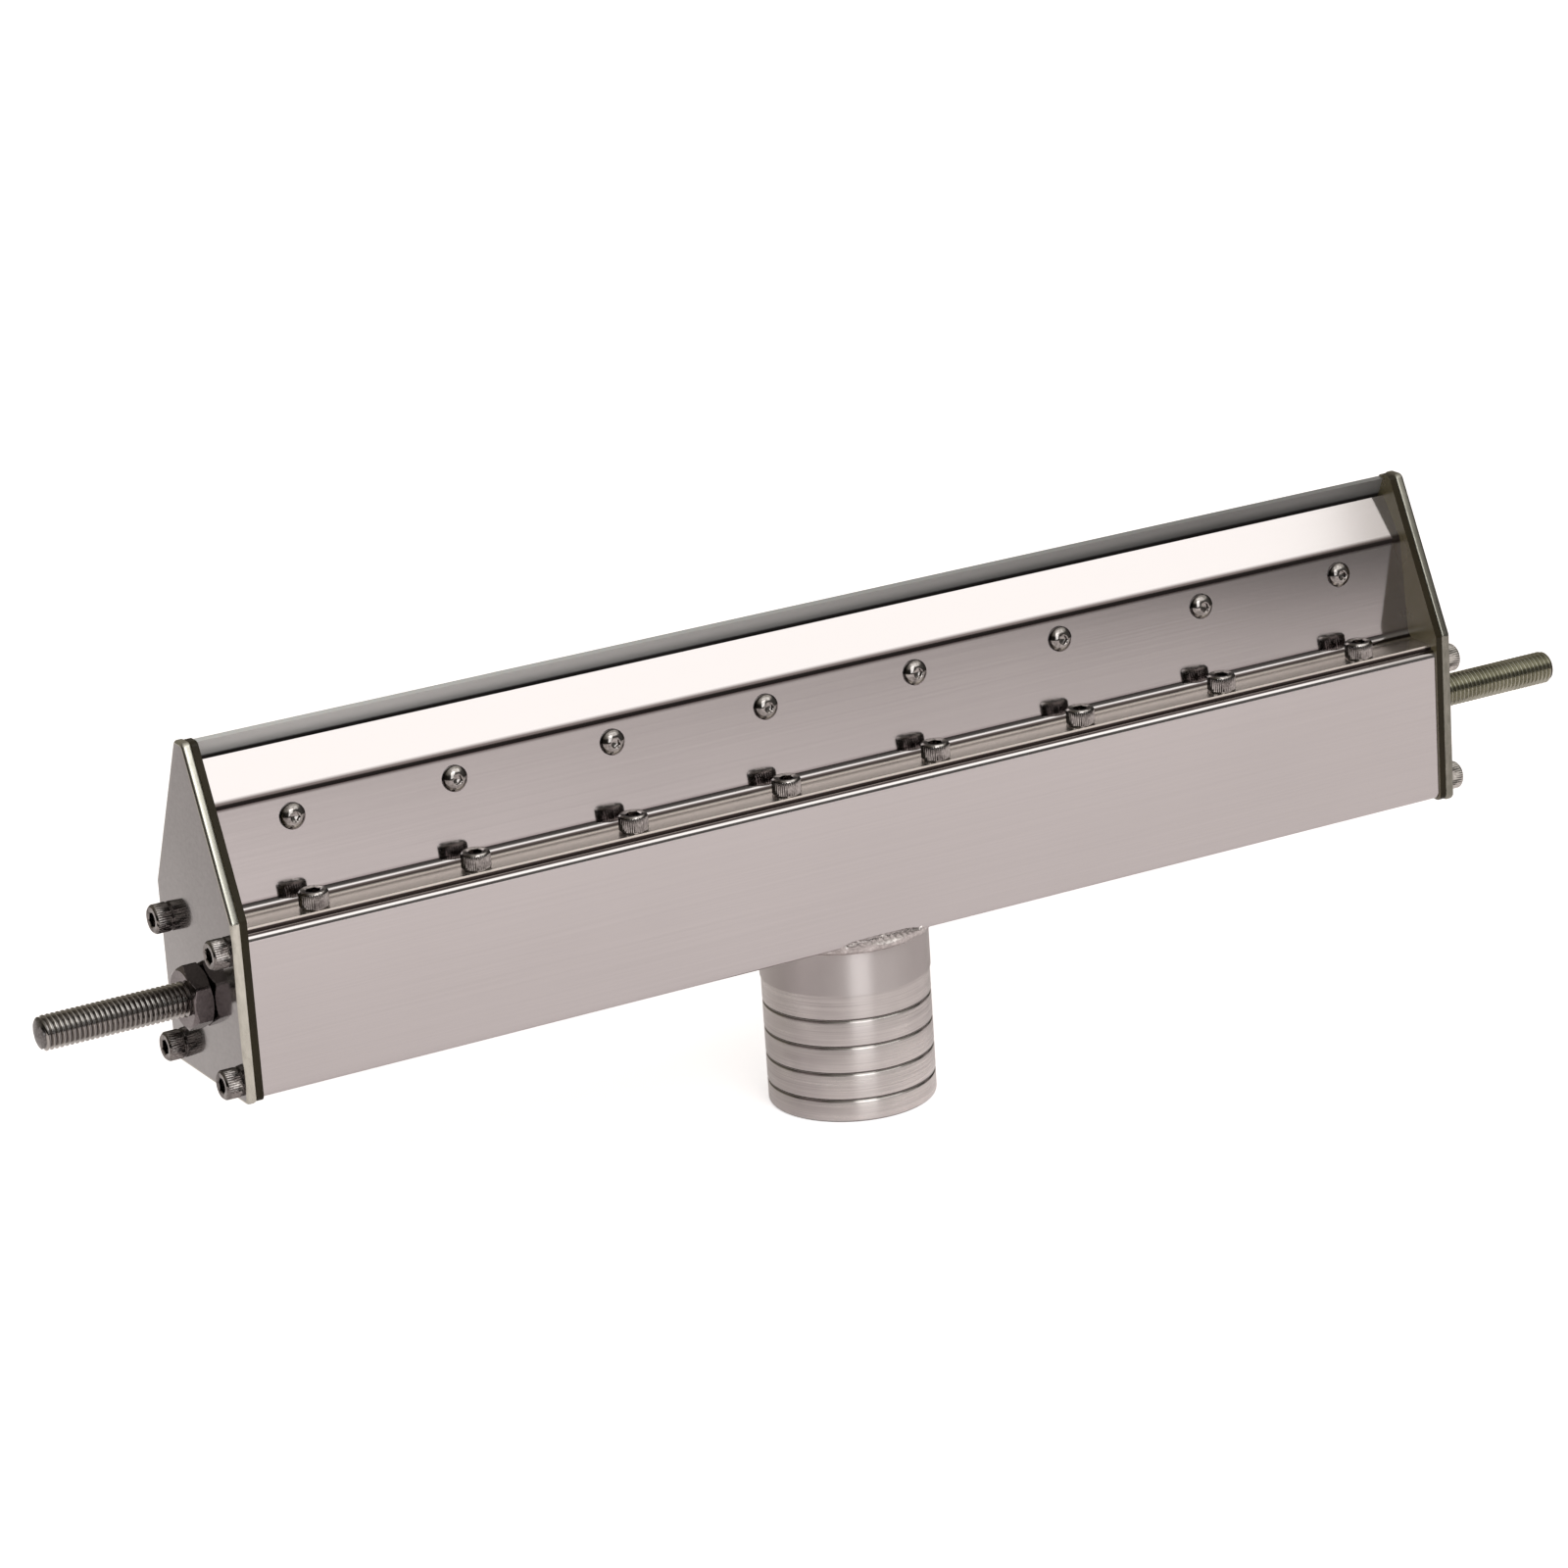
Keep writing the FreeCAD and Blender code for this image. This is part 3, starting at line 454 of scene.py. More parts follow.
def meshOf(bm, name):
    mesh = bpy.data.meshes.new(name)
    bm.to_mesh(mesh)
    bm.free()
    return mesh


def dress(bm, name, finishes, node, smoothBelow=35):
    # the finished piece, which stands for its CAD node; edges sharper than smoothBelow degrees stay sharp
    mesh = meshOf(bm, name)
    piece = bpy.data.objects.new(name, mesh)
    bpy.context.scene.collection.objects.link(piece)
    for finish in finishes:
        mesh.materials.append(finish)
    mesh.shade_smooth()
    mesh.set_sharp_from_angle(angle=math.radians(smoothBelow))
    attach(piece, "root")
    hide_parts(node)


def copyTo(bm, source, turns):
    # adds one copy of the source mesh for each place and turn
    for turn in turns:
        source.transform(turn)
        bm.from_mesh(source)
        source.transform(turn.inverted())


def scaleAcross(vert, factor):
    # moves a point straight to or from the Z axis
    vert.co.x *= factor
    vert.co.y *= factor


def flatDistance(vert, flats):
    # how far a hexagon's side is from the Z axis in the direction of this point
    swing = math.atan2(vert.co.y, vert.co.x) % sixth - sixth / 2
    return flats / 2 / math.cos(swing)


def pressSocket(bm, flats, corner):
    # moves the round hole's wall on to the six flats of the socket
    for vert in bm.verts:
        radius = math.hypot(vert.co.x, vert.co.y)
        if abs(radius - corner) < hair and vert.co.z > 0:
            scaleAcross(vert, flatDistance(vert, flats) / radius)


# Socket cap screws with a straight knurl

capScrew = {
    "shankRadius": 2.5 * mm,
    "tipChamfer": 0.5 * mm,
    "headRadius": 4.25 * mm,
    "headHeight": 5.0 * mm,
    "edge": 0.4 * mm,
    "ridges": 42,
    "ridgeDepth": 0.22 * mm,
    "ridgeEnd": 0.1 * mm,       # length of the slope at the lower end of the knurl
    "plainBand": 0.35 * mm,     # below and above the knurl
    "socketFlats": 4.0 * mm,
    "socketDepth": 2.6 * mm,
    "socketMouth": 0.25 * mm,
    "drillPoint": 0.9 * mm,     # depth of the cone under the socket
}


def capScrewMesh(length):
    size = capScrew
    corner = size["socketFlats"] / 2 / math.cos(sixth / 2)
    top = size["headHeight"]
    head = size["headRadius"]
    band = size["plainBand"]
    core = head - size["ridgeDepth"]
    profile = [
        (0, -length),
        (size["shankRadius"] - size["tipChamfer"], -length),
        (size["shankRadius"], -length + size["tipChamfer"]),
        (size["shankRadius"], 0),
        (core - size["ridgeEnd"], 0),
        (core, size["ridgeEnd"]),
        (core, band),
        (head, band + size["ridgeEnd"]),
        (head, top - band - size["edge"]),
        (core, top - size["edge"]),
        (core - size["edge"], top),
        (corner + size["socketMouth"], top),
        (corner, top - size["socketMouth"]),
        (corner, top - size["socketDepth"]),
        (0, top - size["socketDepth"] - size["drillPoint"]),
    ]
    bm = bmesh.new()
    steps = size["ridges"] * 2
    spinProfile(bm, profile, steps)
    pressSocket(bm, size["socketFlats"], corner)
    for vert in bm.verts:
        radius = math.hypot(vert.co.x, vert.co.y)
        angle = math.atan2(vert.co.y, vert.co.x)
        if radius > core + hair and round(angle / (2 * math.pi) * steps) % 2:
            scaleAcross(vert, core / radius)        # the valley of a ridge
    return meshOf(bm, "cap_screw_master")


footScrews = {
    "count": 8,
    "pitch": 50 * mm,
    "length": 12 * mm,
    "back": -17.3 * mm,
    "seat": 103.3 * mm,
    "firstTurn": 0,
}
plateScrews = {
    "length": 16 * mm,
    "side": 19.2 * mm,
    "levels": (59.2 * mm, 97.0 * mm),
    "seat": 203.5 * mm,
    "firstTurn": 3,
}
unevenTurn = 47     # degrees from one screw to the next, because no two are tightened to the same angle
middleScrew = (footScrews["count"] - 1) / 2
screwPlaces = [(index - middleScrew) * footScrews["pitch"] for index in range(footScrews["count"])]


def socketTurn(index):
    return Matrix.Rotation(math.radians(index * unevenTurn) % sixth, 4, "Z")


def makeFootScrews():
    bm = bmesh.new()
    master = capScrewMesh(footScrews["length"])
    copyTo(bm, master, [
        Matrix.Translation((x, footScrews["back"], footScrews["seat"])) @ socketTurn(index)
        for index, x in enumerate(screwPlaces, start=footScrews["firstTurn"])
    ])
    dress(bm, "knurled_foot_screws", [forgedFastener], "foot_screws")


def makePlateScrews(sideName, outward, finish):
    bm = bmesh.new()
    master = capScrewMesh(plateScrews["length"])
    side = plateScrews["side"]
    places = [(y, level) for y in (-side, side) for level in plateScrews["levels"]]
    copyTo(bm, master, [
        Matrix.Translation((outward * plateScrews["seat"], y, level))
        @ Matrix.Rotation(outward * math.radians(90), 4, "Y") @ socketTurn(index)
        for index, (y, level) in enumerate(places, start=plateScrews["firstTurn"])
    ])
    dress(bm, f"knurled_plate_screws_{sideName}", [finish], f"plate_screws_{sideName}")


makeFootScrews()
makePlateScrews("left", -1, shadedFastener)
makePlateScrews("right", 1, litFastener)
print("cap screws made")


# Button-head screws

button = {
    "shankRadius": 2.0 * mm,
    "tipChamfer": 0.4 * mm,
    "length": 10 * mm,
    "headRadius": 3.8 * mm,
    "headHeight": 2.2 * mm,
    "rim": 0.5 * mm,
    "domeRadius": 3.15 * mm,
    "domeSteps": 12,
    "darkHeight": 0.85 * mm,            # the painted shade on the edge reaches this high
    "darkFrom": 0.85,                   # and this far in, as a share of the head's radius
    "socketFlats": 2.5 * mm,
    "socketDepth": 1.3 * mm,
    "socketMouth": 0.12 * mm,
    "drillPoint": 0.5 * mm,
    "steps": 48,
    "lean": math.radians(5.6),          # of the web that they sit on
    "seat": Vector((0, -7.954, 127.185)) * mm,
    "firstTurn": 5,
}


def buttonMesh():
    size = button
    corner = size["socketFlats"] / 2 / math.cos(sixth / 2)
    top = size["headHeight"]
    crown = Vector((corner + size["socketMouth"], top))
    rim = Vector((size["headRadius"], size["rim"]))
    # the dome is an arc between the rim and the socket's edge, and start points from its middle to the rim
    chord = crown - rim
    sweep = 2 * math.asin(chord.length / 2 / size["domeRadius"])
    start = math.atan2(chord.y, chord.x) - math.radians(90) - sweep / 2
    middle = rim - size["domeRadius"] * Vector((math.cos(start), math.sin(start)))
    profile = [
        (0, -size["length"]),
        (size["shankRadius"] - size["tipChamfer"], -size["length"]),
        (size["shankRadius"], -size["length"] + size["tipChamfer"]),
        (size["shankRadius"], 0),
        (size["headRadius"], 0),
    ]
    for part in range(size["domeSteps"] + 1):
        angle = start + sweep * part / size["domeSteps"]
        profile.append(middle + size["domeRadius"] * Vector((math.cos(angle), math.sin(angle))))
    profile += [
        (corner, top - size["socketMouth"]),
        (corner, top - size["socketDepth"]),
        (0, top - size["socketDepth"] - size["drillPoint"]),
    ]
    bm = bmesh.new()
    spinProfile(bm, profile, size["steps"])
    pressSocket(bm, size["socketFlats"], corner)
    # the low skirt of the head takes the painted shade
    for face in bm.faces:
        centre = face.calc_center_median()
        if centre.xy.length > size["headRadius"] * size["darkFrom"] and 0 < centre.z < size["darkHeight"]:
            face.material_index = 1
    return meshOf(bm, "button_master")


def makeLipScrews():
    bm = bmesh.new()
    master = buttonMesh()
    copyTo(bm, master, [
        Matrix.Translation(button["seat"] + Vector((x, 0, 0)))
        @ Matrix.Rotation(math.radians(90) - button["lean"], 4, "X") @ socketTurn(index)
        for index, x in enumerate(screwPlaces, start=button["firstTurn"])
    ])
    dress(bm, "domed_lip_screws", [forgedFastener, shadedHeadEdge], "lip_screws")


makeLipScrews()
print("button screws made")


# Threaded studs

stud = {
    "radius": 5.0 * mm,
    "height": 79.3 * mm,
    "pitch": 1.5 * mm,
    "threadDepth": 0.92 * mm,
    # one pitch of the thread: how far along, and how far out of the root
    "threadForm": ((0, 1), (0.125, 1), (0.28, 0.5), (0.4375, 0), (0.6875, 0), (0.84, 0.5), (1, 1)),
    "stepsPerTurn": 40,
    "turnsBefore": 2,           # cut off again at the ends
    "turnsAfter": 1,
    "endRound": 1.7 * mm,
    "dome": 0.8 * mm,           # the ends are turned to a low dome
    "domeRing": 2.2 * mm,       # from the edge to the ring inside the dome
    "turnedEnd": 1.5 * mm,      # length with the finish of the ends
}


def longThread(bm, low, high):
    # a thread about the X axis that runs past both ends of the stud
    pitch = stud["pitch"]
    root = stud["radius"] - stud["threadDepth"]
    start = low - stud["turnsBefore"] * pitch
    chain = [bm.verts.new((start + along * pitch, 0, root + out * stud["threadDepth"]))
             for along, out in stud["threadForm"]]
    edges = [bm.edges.new(pair) for pair in zip(chain, chain[1:])]
    bmesh.ops.spin(bm, geom=chain + edges, cent=(0, 0, 0), axis=(1, 0, 0),
                   dvec=(pitch / stud["stepsPerTurn"], 0, 0), angle=2 * math.pi, steps=stud["stepsPerTurn"],
                   use_merge=False, use_duplicate=False)
    oneTurn = bpy.data.meshes.new("one_turn")
    bm.to_mesh(oneTurn)
    turns = math.ceil((high - low) / pitch) + stud["turnsBefore"] + stud["turnsAfter"]
    copyTo(bm, oneTurn, [Matrix.Translation((pitch * turn, 0, 0)) for turn in range(1, turns)])
    bmesh.ops.remove_doubles(bm, verts=bm.verts[:], dist=joinWithin)


def closeEnd(bm, end, side):
    # cuts the thread off at one end, and fills it with a ring and a point for the dome
    bmesh.ops.bisect_plane(bm, geom=bm.verts[:] + bm.edges[:] + bm.faces[:], dist=cutWithin,
                           plane_co=(end, 0, 0), plane_no=(side, 0, 0), clear_outer=True)
    rim = [edge for edge in bm.edges if edge.is_boundary and abs(edge.verts[0].co.x - end) < hair]
    cap = bmesh.ops.edgenet_fill(bm, edges=rim)["faces"]
    bmesh.ops.inset_region(bm, faces=cap, thickness=stud["domeRing"])
    bmesh.ops.poke(bm, faces=cap)


def threadedStud(sideName, finish):
    low, high = (corner.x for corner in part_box(f"stud_{sideName}"))
    inset = stud["dome"] + cutWithin
    bm = bmesh.new()
    longThread(bm, low, high)
    closeEnd(bm, low + inset, -1)
    closeEnd(bm, high - inset, 1)
    for vert in bm.verts:
        # the ends are turned round, and domed inside that
        room = min(vert.co.x - low, high - vert.co.x) - inset
        short = min(1, max(0, 1 - room / stud["endRound"]))
        limit = stud["radius"] - stud["endRound"] * (1 - math.sqrt(1 - short ** 2))
        radius = math.hypot(vert.co.y, vert.co.z)
        if radius > limit:
            vert.co.y *= limit / radius
            vert.co.z *= limit / radius
        elif room < hair:
            vert.co.x += math.copysign(stud["dome"] * (1 - (radius / limit) ** 2), vert.co.x)
    for face in bm.faces:
        middle = face.calc_center_median().x
        if min(middle - low, high - middle) < stud["turnedEnd"]:
            face.material_index = 1
    bmesh.ops.translate(bm, verts=bm.verts[:], vec=(0, 0, stud["height"]))
    bmesh.ops.recalc_face_normals(bm, faces=bm.faces[:])
    dress(bm, f"threaded_stud_{sideName}", [finish, sawnEnd], f"stud_{sideName}",
          smoothBelow=40)


threadedStud("left", rolledThread)
threadedStud("right", oiledThread)
print("studs threaded")


# Weld bead with ripples

weld = {
    "tubeRadius": 25.3 * mm,
    "insideRadius": 23.6 * mm,      # hidden in the tube's wall
    "underside": 54.4 * mm,
    "leg": 2.1 * mm,
    "bulge": 0.86,                  # of the leg, from the corner to the bead's face
    "faceSteps": 8,
    "topSteps": 10,
    "steps": 336,                   # around the tube
    "wall": 24.0 * mm,              # front and rear walls, which the tube stands proud of
    "bend": 2.1 * mm,               # radius of the sheet under those walls
    "sink": 0.1 * mm,               # into that bend, so that the bead closes on it
    "climb": 1.5 * mm,              # up those walls
    # roughness of that crown: share of the climb, radians for each mm along and for each mm out
    "crownWaves": ((0.14, 3.1, 0.0), (0.12, 7.7, 4.0)),
    "ripples": 84,
    "ripple": 0.16 * mm,
    "hollowShare": 0.6,             # of a ripple's height lies under the plain bead
    "lag": 0.9,                     # ripples lean as the puddle freezes, as a share of their spacing
    "wander": 0.08 * mm,            # slow change of the bead's size
    "wanderWaves": ((7, 1), (17, 0)),       # waves around the tube, and where they start
    "skin": 0.02 * mm,              # points this near the tube or the sheet stay there
    "deepest": 0.5,                 # and those within this share of the leg from the corner
}


def beadSection():
    corner = Vector((weld["tubeRadius"], weld["underside"]))
    leg = weld["leg"]
    section = [(corner.x, corner.y - leg)]
    for part in range(1, weld["faceSteps"]):
        angle = math.radians(90) * part / weld["faceSteps"]
        section.append(corner + leg * weld["bulge"] * Vector((math.sin(angle), -math.cos(angle))))
    reach = corner.x + leg - weld["insideRadius"]
    for part in range(weld["topSteps"] + 1):
        section.append((corner.x + leg - reach * part / weld["topSteps"], corner.y))
    return section + section[:1]


def crownLift(x, proud):
    # a rough crown in front of the wall, and under it up to the bend of the sheet
    if proud > 0:
        outer = weld["tubeRadius"] + weld["leg"]
        across = proud / (outer - weld["wall"])
        along = x / math.sqrt(outer ** 2 - weld["wall"] ** 2)
        rough = 1 + sum(share * math.sin(x / mm * turn + proud / mm * lean)
                        for share, turn, lean in weld["crownWaves"])
        taper = math.sqrt(max(0, 1 - along ** 2)) * math.sqrt(max(0, 1 - across ** 2))
        return weld["climb"] * rough * taper
    inset = proud + weld["bend"]
    return weld["bend"] - math.sqrt(weld["bend"] ** 2 - inset ** 2) + weld["sink"]


def rippleLift(angle, out):
    lean = out.x / weld["leg"] * weld["lag"]
    wave = abs(math.sin((angle * weld["ripples"] + lean * math.pi) / 2))
    wander = sum(math.sin(angle * count + start) for count, start in weld["wanderWaves"]) / 2
    return weld["ripple"] * (wave - weld["hollowShare"]) + weld["wander"] * wander


def weldBead():
    bm = bmesh.new()
    spinProfile(bm, beadSection(), weld["steps"])
    for vert in bm.verts:
        radius = math.hypot(vert.co.x, vert.co.y)
        out = Vector((radius - weld["tubeRadius"], vert.co.z - weld["underside"]))
        proud = abs(vert.co.y) - weld["wall"]
        onTop = out.y > -weld["skin"]
        if onTop and proud > -weld["bend"]:
            vert.co.z += crownLift(vert.co.x, proud)
        elif not onTop and out.x >= weld["skin"] and out.length >= weld["leg"] * weld["deepest"]:
            out += out.normalized() * rippleLift(math.atan2(vert.co.y, vert.co.x), out)
            scaleAcross(vert, (weld["tubeRadius"] + max(out.x, 0)) / radius)
            vert.co.z = weld["underside"] + min(out.y, 0)
    dress(bm, "weld_ripples", [brushedWeld], "inlet_weld", smoothBelow=60)


weldBead()
print("weld made")


# Hose spigot with round-bottomed grooves

spigot = {
    "insideRadius": 23.0 * mm,
    "landRadius": 25.0 * mm,
    "landHeight": 39.5 * mm,
    "tubeRadius": 25.3 * mm,
    "stepRise": 0.08 * mm,          # slope from the land to the tube
    "top": 55.9 * mm,
    "endRound": 1.0 * mm,
    "endSteps": 8,
    "grooves": 4,
    "firstGroove": 6.9 * mm,
    "groovePitch": 8.25 * mm,
    "grooveHalf": 0.76 * mm,
    "grooveDepth": 0.42 * mm,
    "grooveSteps": 6,               # from its middle to its edge
    "steps": 160,
}


def turnedSpigot():
    size = spigot
    land = size["landRadius"]
    endRound = size["endRound"]
    profile = [(size["insideRadius"], size["top"]), (size["insideRadius"], 0), (land - endRound, 0)]
    for part in range(1, size["endSteps"] + 1):
        angle = math.radians(90) * part / size["endSteps"]
        profile.append((land - endRound * (1 - math.sin(angle)), endRound * (1 - math.cos(angle))))
    for groove in range(size["grooves"]):
        level = size["firstGroove"] + groove * size["groovePitch"]
        for part in range(-size["grooveSteps"], size["grooveSteps"] + 1):
            share = part / size["grooveSteps"]
            dip = 0.5 + 0.5 * math.cos(math.pi * share)
            profile.append((land - size["grooveDepth"] * dip, level + size["grooveHalf"] * share))
    profile += [
        (land, size["landHeight"]),
        (size["tubeRadius"], size["landHeight"] + size["stepRise"]),
        (size["tubeRadius"], size["top"]),
        (size["insideRadius"], size["top"]),
    ]
    bm = bmesh.new()
    spinProfile(bm, profile, size["steps"])
    dress(bm, "grooved_spigot", [turnedTube], "inlet_spigot", smoothBelow=50)


turnedSpigot()
print("spigot made")


# End plates with a polished round rim

plate = {
    "inner": 200.5 * mm,
    "outer": 203.5 * mm,
    "corners": {        # Y and Z of each corner of one half, and the bevel that gives it a radius of 2 mm
        "foot": (24.9 * mm, 53.5 * mm, 2.0 * mm),
        "shoulder": (24.9 * mm, 106.29 * mm, 0.45 * mm),
        "peak": (2.77 * mm, 152.7 * mm, 1.26 * mm),
    },
    "cornerSegments": 5,
    "rim": 0.95 * mm,
    "rimSegments": 6,
    "flatOver": 0.9,    # X of the normal of a face that is flat
}


def bevelRound(bm, edges, offset, segments, material):
    bmesh.ops.bevel(bm, geom=edges, offset=offset, segments=segments, profile=0.5, affect="EDGES",
                    material=material)


def housePlate(sideName, outward, edgeFinish):
    corners = list(plate["corners"].values())
    inner = outward * plate["inner"]
    bm = bmesh.new()
    ring = [bm.verts.new((inner, y, z)) for y, z, setback in corners]
    ring += [bm.verts.new((inner, -y, z)) for y, z, setback in reversed(corners)]
    face = bm.faces.new(ring)
    grown = bmesh.ops.extrude_face_region(bm, geom=[face], use_keep_orig=True)
    lifted = [item for item in grown["geom"] if isinstance(item, bmesh.types.BMVert)]
    bmesh.ops.translate(bm, verts=lifted, vec=(outward * (plate["outer"] - plate["inner"]), 0, 0))
    bmesh.ops.recalc_face_normals(bm, faces=bm.faces[:])
    for y, z, setback in corners:
        crosswise = [edge for edge in bm.edges if abs(edge.verts[0].co.x - edge.verts[1].co.x) > mm]
        edges = [edge for edge in crosswise
                 if all(abs(abs(vert.co.y) - y) < hair and abs(vert.co.z - z) < hair for vert in edge.verts)]
        bevelRound(bm, edges, setback, plate["cornerSegments"], -1)
    flats = [face for face in bm.faces if abs(face.normal.x) > plate["flatOver"]]
    for face in bm.faces:
        face.material_index = 0 if face in flats else 1
    edges = [edge for face in flats for edge in face.edges]
    bevelRound(bm, edges, plate["rim"], plate["rimSegments"], 1)
    bmesh.ops.recalc_face_normals(bm, faces=bm.faces[:])
    dress(bm, f"rounded_plate_{sideName}", [tumbledPlate, edgeFinish], f"end_plate_{sideName}")


housePlate("left", -1, polishedRim)
housePlate("right", 1, shadedRim)
print("end plates made")


# Hexagon nuts outside the plates

nut = {
    "flats": 17.0 * mm,
    "height": 6.0 * mm,
    "faceRadius": 8.1 * mm,         # flat ring left by the chamfer
    "cornerRadius": 9.583 * mm,     # corners are worn a little short of sharp
    "chamferLean": math.radians(30),
    "chamferShare": 0.2,            # of the height, in which the chamfer lies
    "chamferSteps": 12,
    "hole": 4.6 * mm,
    "holeChamfer": 0.6 * mm,
    "seat": 203.5 * mm,
    "steps": 144,
}


def hexagonNut(sideName, outward):
    size = nut
    high = size["height"]
    full = size["cornerRadius"]
    mouth = size["hole"] + size["holeChamfer"]
    step = high * size["chamferShare"] / size["chamferSteps"]
    levels = [step * part for part in range(1, size["chamferSteps"] + 1)]
    profile = [(size["hole"], 0), (mouth, 0), (size["faceRadius"], 0)]
    profile += [(full, level) for level in levels] + [(full, high - level) for level in reversed(levels)]
    profile += [
        (size["faceRadius"], high),
        (mouth, high),
        (size["hole"], high - size["holeChamfer"]),
        (size["hole"], 0),
    ]
    bm = bmesh.new()
    spinProfile(bm, profile, size["steps"])
    for vert in bm.verts:
        radius = math.hypot(vert.co.x, vert.co.y)
        if radius > size["faceRadius"] + hair:
            cone = size["faceRadius"] + min(vert.co.z, high - vert.co.z) / math.tan(size["chamferLean"])
            scaleAcross(vert, min(flatDistance(vert, size["flats"]), cone, full) / radius)
    place = Matrix.Translation((outward * size["seat"], 0, stud["height"]))
    bm.transform(place @ Matrix.Rotation(outward * math.radians(90), 4, "Y"))
    bmesh.ops.recalc_face_normals(bm, faces=bm.faces[:])
    dress(bm, f"chamfered_nut_{sideName}", [shadedNut], f"outer_nut_{sideName}", smoothBelow=28)


hexagonNut("left", -1)
hexagonNut("right", 1)
print("nuts made")


# Floor, light and camera

studio = {
    # corners of the paper that the object stands on, in metres
    "paper": ((-1.6, -1.4), (0.60, -1.4), (1.20, 1.6), (-1.6, 1.6)),
    "floor": "#F8F0F1",
    "whiteLift": 0.68,          # added for the camera, so that the clear floor reads as white paper
    "mirrorShare": 0.34,        # how much of that lift polished metal sees
    "bright": "#FFFDF6",        # the side of the room where the window of the studio is
    "dim": "#6B675E",           # the other side: a warm, darker wall
    "windowSide": Vector((0.42, -0.60, 0.68)),
    "windowEdge": (0.12, 0.97),     # dim under the first, bright over the second: how far a ray points there
    "lowest": 0.16,             # the room darkens towards the floor
    "darkensAt": (0.40, 0.62),  # dark under the first, full over the second: how far a ray points up
    "behind": 1.9,              # but not behind the object, where the dim wall is lit
    "behindFrom": (0.2, 0.6),
}


def makeFloor():
    bm = bmesh.new()
    bm.faces.new([bm.verts.new((x, y, 0)) for x, y in studio["paper"]])
    mesh = meshOf(bm, "studio_floor")
    floor = bpy.data.objects.new("studio_floor", mesh)
    bpy.context.scene.collection.objects.link(floor)
    material, tree = newMaterial("pale_paper")
    path = addNode(tree, "ShaderNodeLightPath")
    mirror = addNode(tree, "ShaderNodeMath", {"operation": "MAXIMUM"},
                     {0: path.outputs["Is Glossy Ray"], 1: path.outputs["Is Transmission Ray"]})
    share = addNode(tree, "ShaderNodeMath", {"operation": "MULTIPLY_ADD", 1: studio["mirrorShare"]},
                    {0: mirror.outputs["Value"], 2: path.outputs["Is Camera Ray"]})
    lift = addNode(tree, "ShaderNodeMath", {"operation": "MULTIPLY", 1: studio["whiteLift"]},
                   {0: share.outputs["Value"]})
    paper = addNode(tree, "ShaderNodeBsdfDiffuse", {"Color": linear(studio["floor"])})
    glow = addNode(tree, "ShaderNodeEmission", None, {"Strength": lift.outputs["Value"]})
    both = addNode(tree, "ShaderNodeAddShader", None,
                   {0: paper.outputs["BSDF"], 1: glow.outputs["Emission"]})
    addNode(tree, "ShaderNodeOutputMaterial", None, {"Surface": both.outputs["Shader"]})
    mesh.materials.append(material)


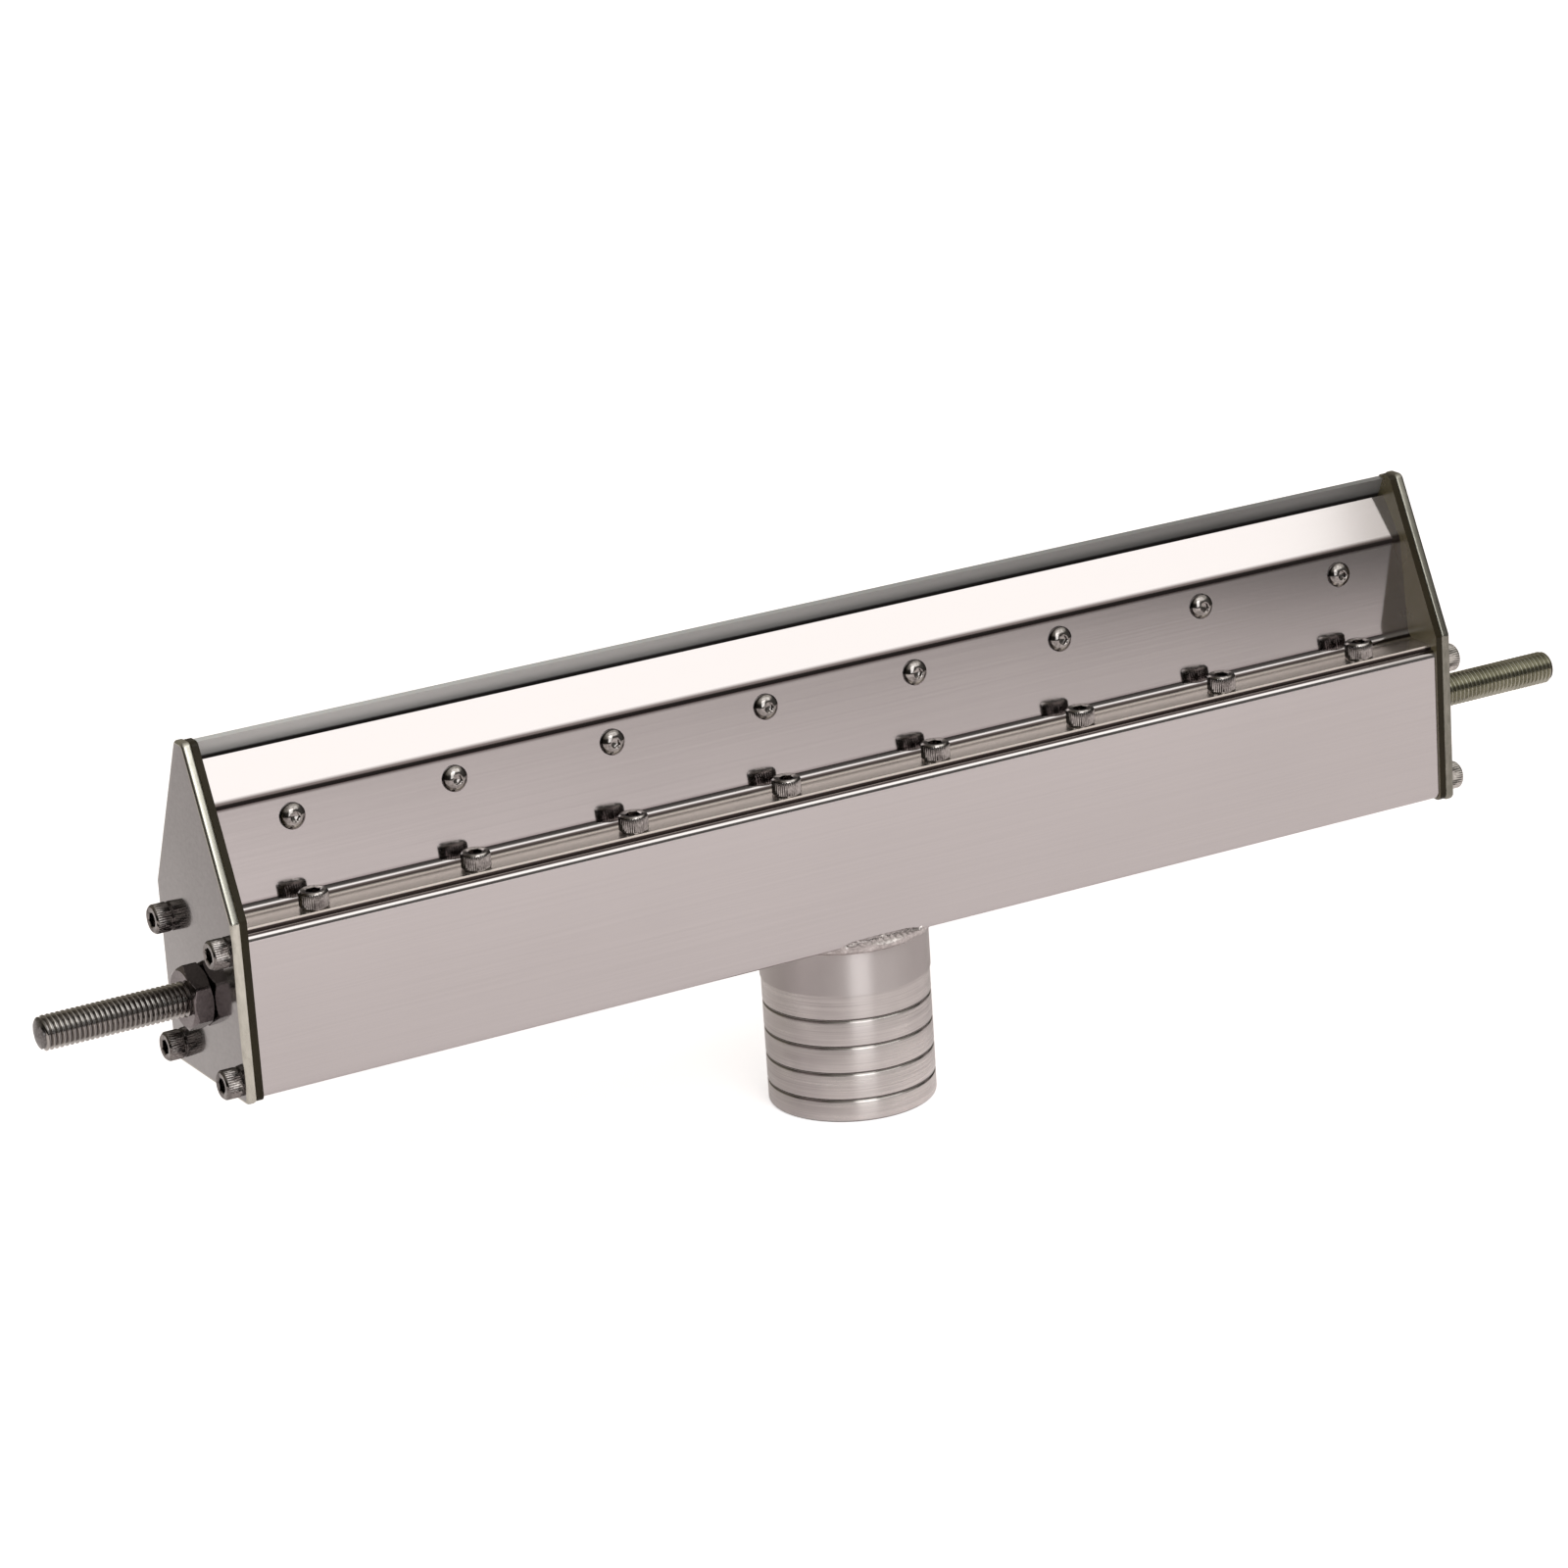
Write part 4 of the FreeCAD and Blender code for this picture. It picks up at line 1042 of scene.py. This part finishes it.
def makeWorld():
    world = bpy.data.worlds.new("studio_room")
    bpy.context.scene.world = world
    world.use_nodes = True
    tree = world.node_tree
    tree.nodes.clear()
    place = addNode(tree, "ShaderNodeTexCoord")
    direction = place.outputs["Generated"]
    toWindow = addNode(tree, "ShaderNodeVectorMath",
                       {"operation": "DOT_PRODUCT", 1: studio["windowSide"].normalized()}, {0: direction})
    dimUnder, brightOver = studio["windowEdge"]
    near = addNode(tree, "ShaderNodeMapRange",
                   {"interpolation_type": "SMOOTHSTEP", "From Min": dimUnder, "From Max": brightOver},
                   {"Value": toWindow.outputs["Value"]})
    room = addNode(tree, "ShaderNodeMix",
                   {"data_type": "RGBA", 6: linear(studio["dim"]), 7: linear(studio["bright"])},
                   {0: near.outputs["Result"]})
    axes = addNode(tree, "ShaderNodeSeparateXYZ", None, {"Vector": direction})
    darkUnder, fullOver = studio["darkensAt"]
    rise = addNode(tree, "ShaderNodeMapRange",
                   {"interpolation_type": "SMOOTHSTEP", "From Min": darkUnder, "From Max": fullOver,
                    "To Min": studio["lowest"], "To Max": 1.0},
                   {"Value": axes.outputs["Z"]})
    start, end = studio["behindFrom"]
    behind = addNode(tree, "ShaderNodeMapRange",
                     {"From Min": start, "From Max": end, "To Max": studio["behind"]},
                     {"Value": axes.outputs["Y"]})
    wall = addNode(tree, "ShaderNodeMath", {"operation": "MAXIMUM"},
                   {0: rise.outputs["Result"], 1: behind.outputs["Result"]})
    path = addNode(tree, "ShaderNodeLightPath")
    level = addNode(tree, "ShaderNodeMath", {"operation": "MAXIMUM"},
                    {0: wall.outputs["Value"], 1: path.outputs["Is Camera Ray"]})
    seen = addNode(tree, "ShaderNodeMix", {"data_type": "RGBA", 7: (1, 1, 1, 1)},
                   {0: path.outputs["Is Camera Ray"], 6: room.outputs[2]})
    sky = addNode(tree, "ShaderNodeBackground", None,
                  {"Color": seen.outputs[2], "Strength": level.outputs["Value"]})
    addNode(tree, "ShaderNodeOutputWorld", None, {"Surface": sky.outputs["Background"]})


softboxes = {       # in metres
    "overhead_box": {
        "at": Vector((0.27, -0.50, 0.85)), "aim": Vector((0.27, 0.0, 0.13)), "size": (0.96, 0.58),
        "radiance": 1.05,
    },
    "front_strip": {
        "at": Vector((-0.17, -0.98, 0.60)), "aim": Vector((0.0, 0.0, 0.05)), "size": (0.54, 0.95),
        "radiance": 2.4,
    },
}
daylightTube = (0.975, 1.0, 1.0)


def makeLights():
    for name, box in softboxes.items():
        lamp = bpy.data.lights.new(name, "AREA")
        lamp.shape = "RECTANGLE"
        lamp.size, lamp.size_y = box["size"]
        lamp.energy = box["radiance"] * math.pi * lamp.size * lamp.size_y   # watts that give this radiance
        lamp.color = daylightTube
        light = bpy.data.objects.new(name, lamp)
        light.location = box["at"]
        light.rotation_euler = (box["aim"] - box["at"]).to_track_quat("-Z", "Y").to_euler()
        light.visible_camera = False
        bpy.context.scene.collection.objects.link(light)


view = {
    "azimuth": 28.59,       # degrees from looking along +Y
    "elevation": 18.0,
    "roll": -3.83,          # the camera is held a little crooked
    "aim": Vector((13.0, 53.8, 80.0)) * mm,
    "distance": 1.7219,
    "sensor": 36.0,
    "lens": 131.08,
}


def makeCamera():
    lens = bpy.data.cameras.new("studio_camera")
    lens.sensor_width = view["sensor"]
    lens.lens = view["lens"]
    camera = bpy.data.objects.new("studio_camera", lens)
    turn = (Matrix.Rotation(-math.radians(view["azimuth"]), 4, "Z")
            @ Matrix.Rotation(math.radians(90 - view["elevation"]), 4, "X")
            @ Matrix.Rotation(math.radians(view["roll"]), 4, "Z"))
    retreat = Matrix.Translation((0, 0, view["distance"]))
    camera.matrix_world = Matrix.Translation(view["aim"]) @ turn @ retreat
    bpy.context.scene.collection.objects.link(camera)
    bpy.context.scene.camera = camera


makeFloor()
makeWorld()
makeLights()
makeCamera()
bpy.context.scene.view_settings.view_transform = "Standard"
print("studio ready")
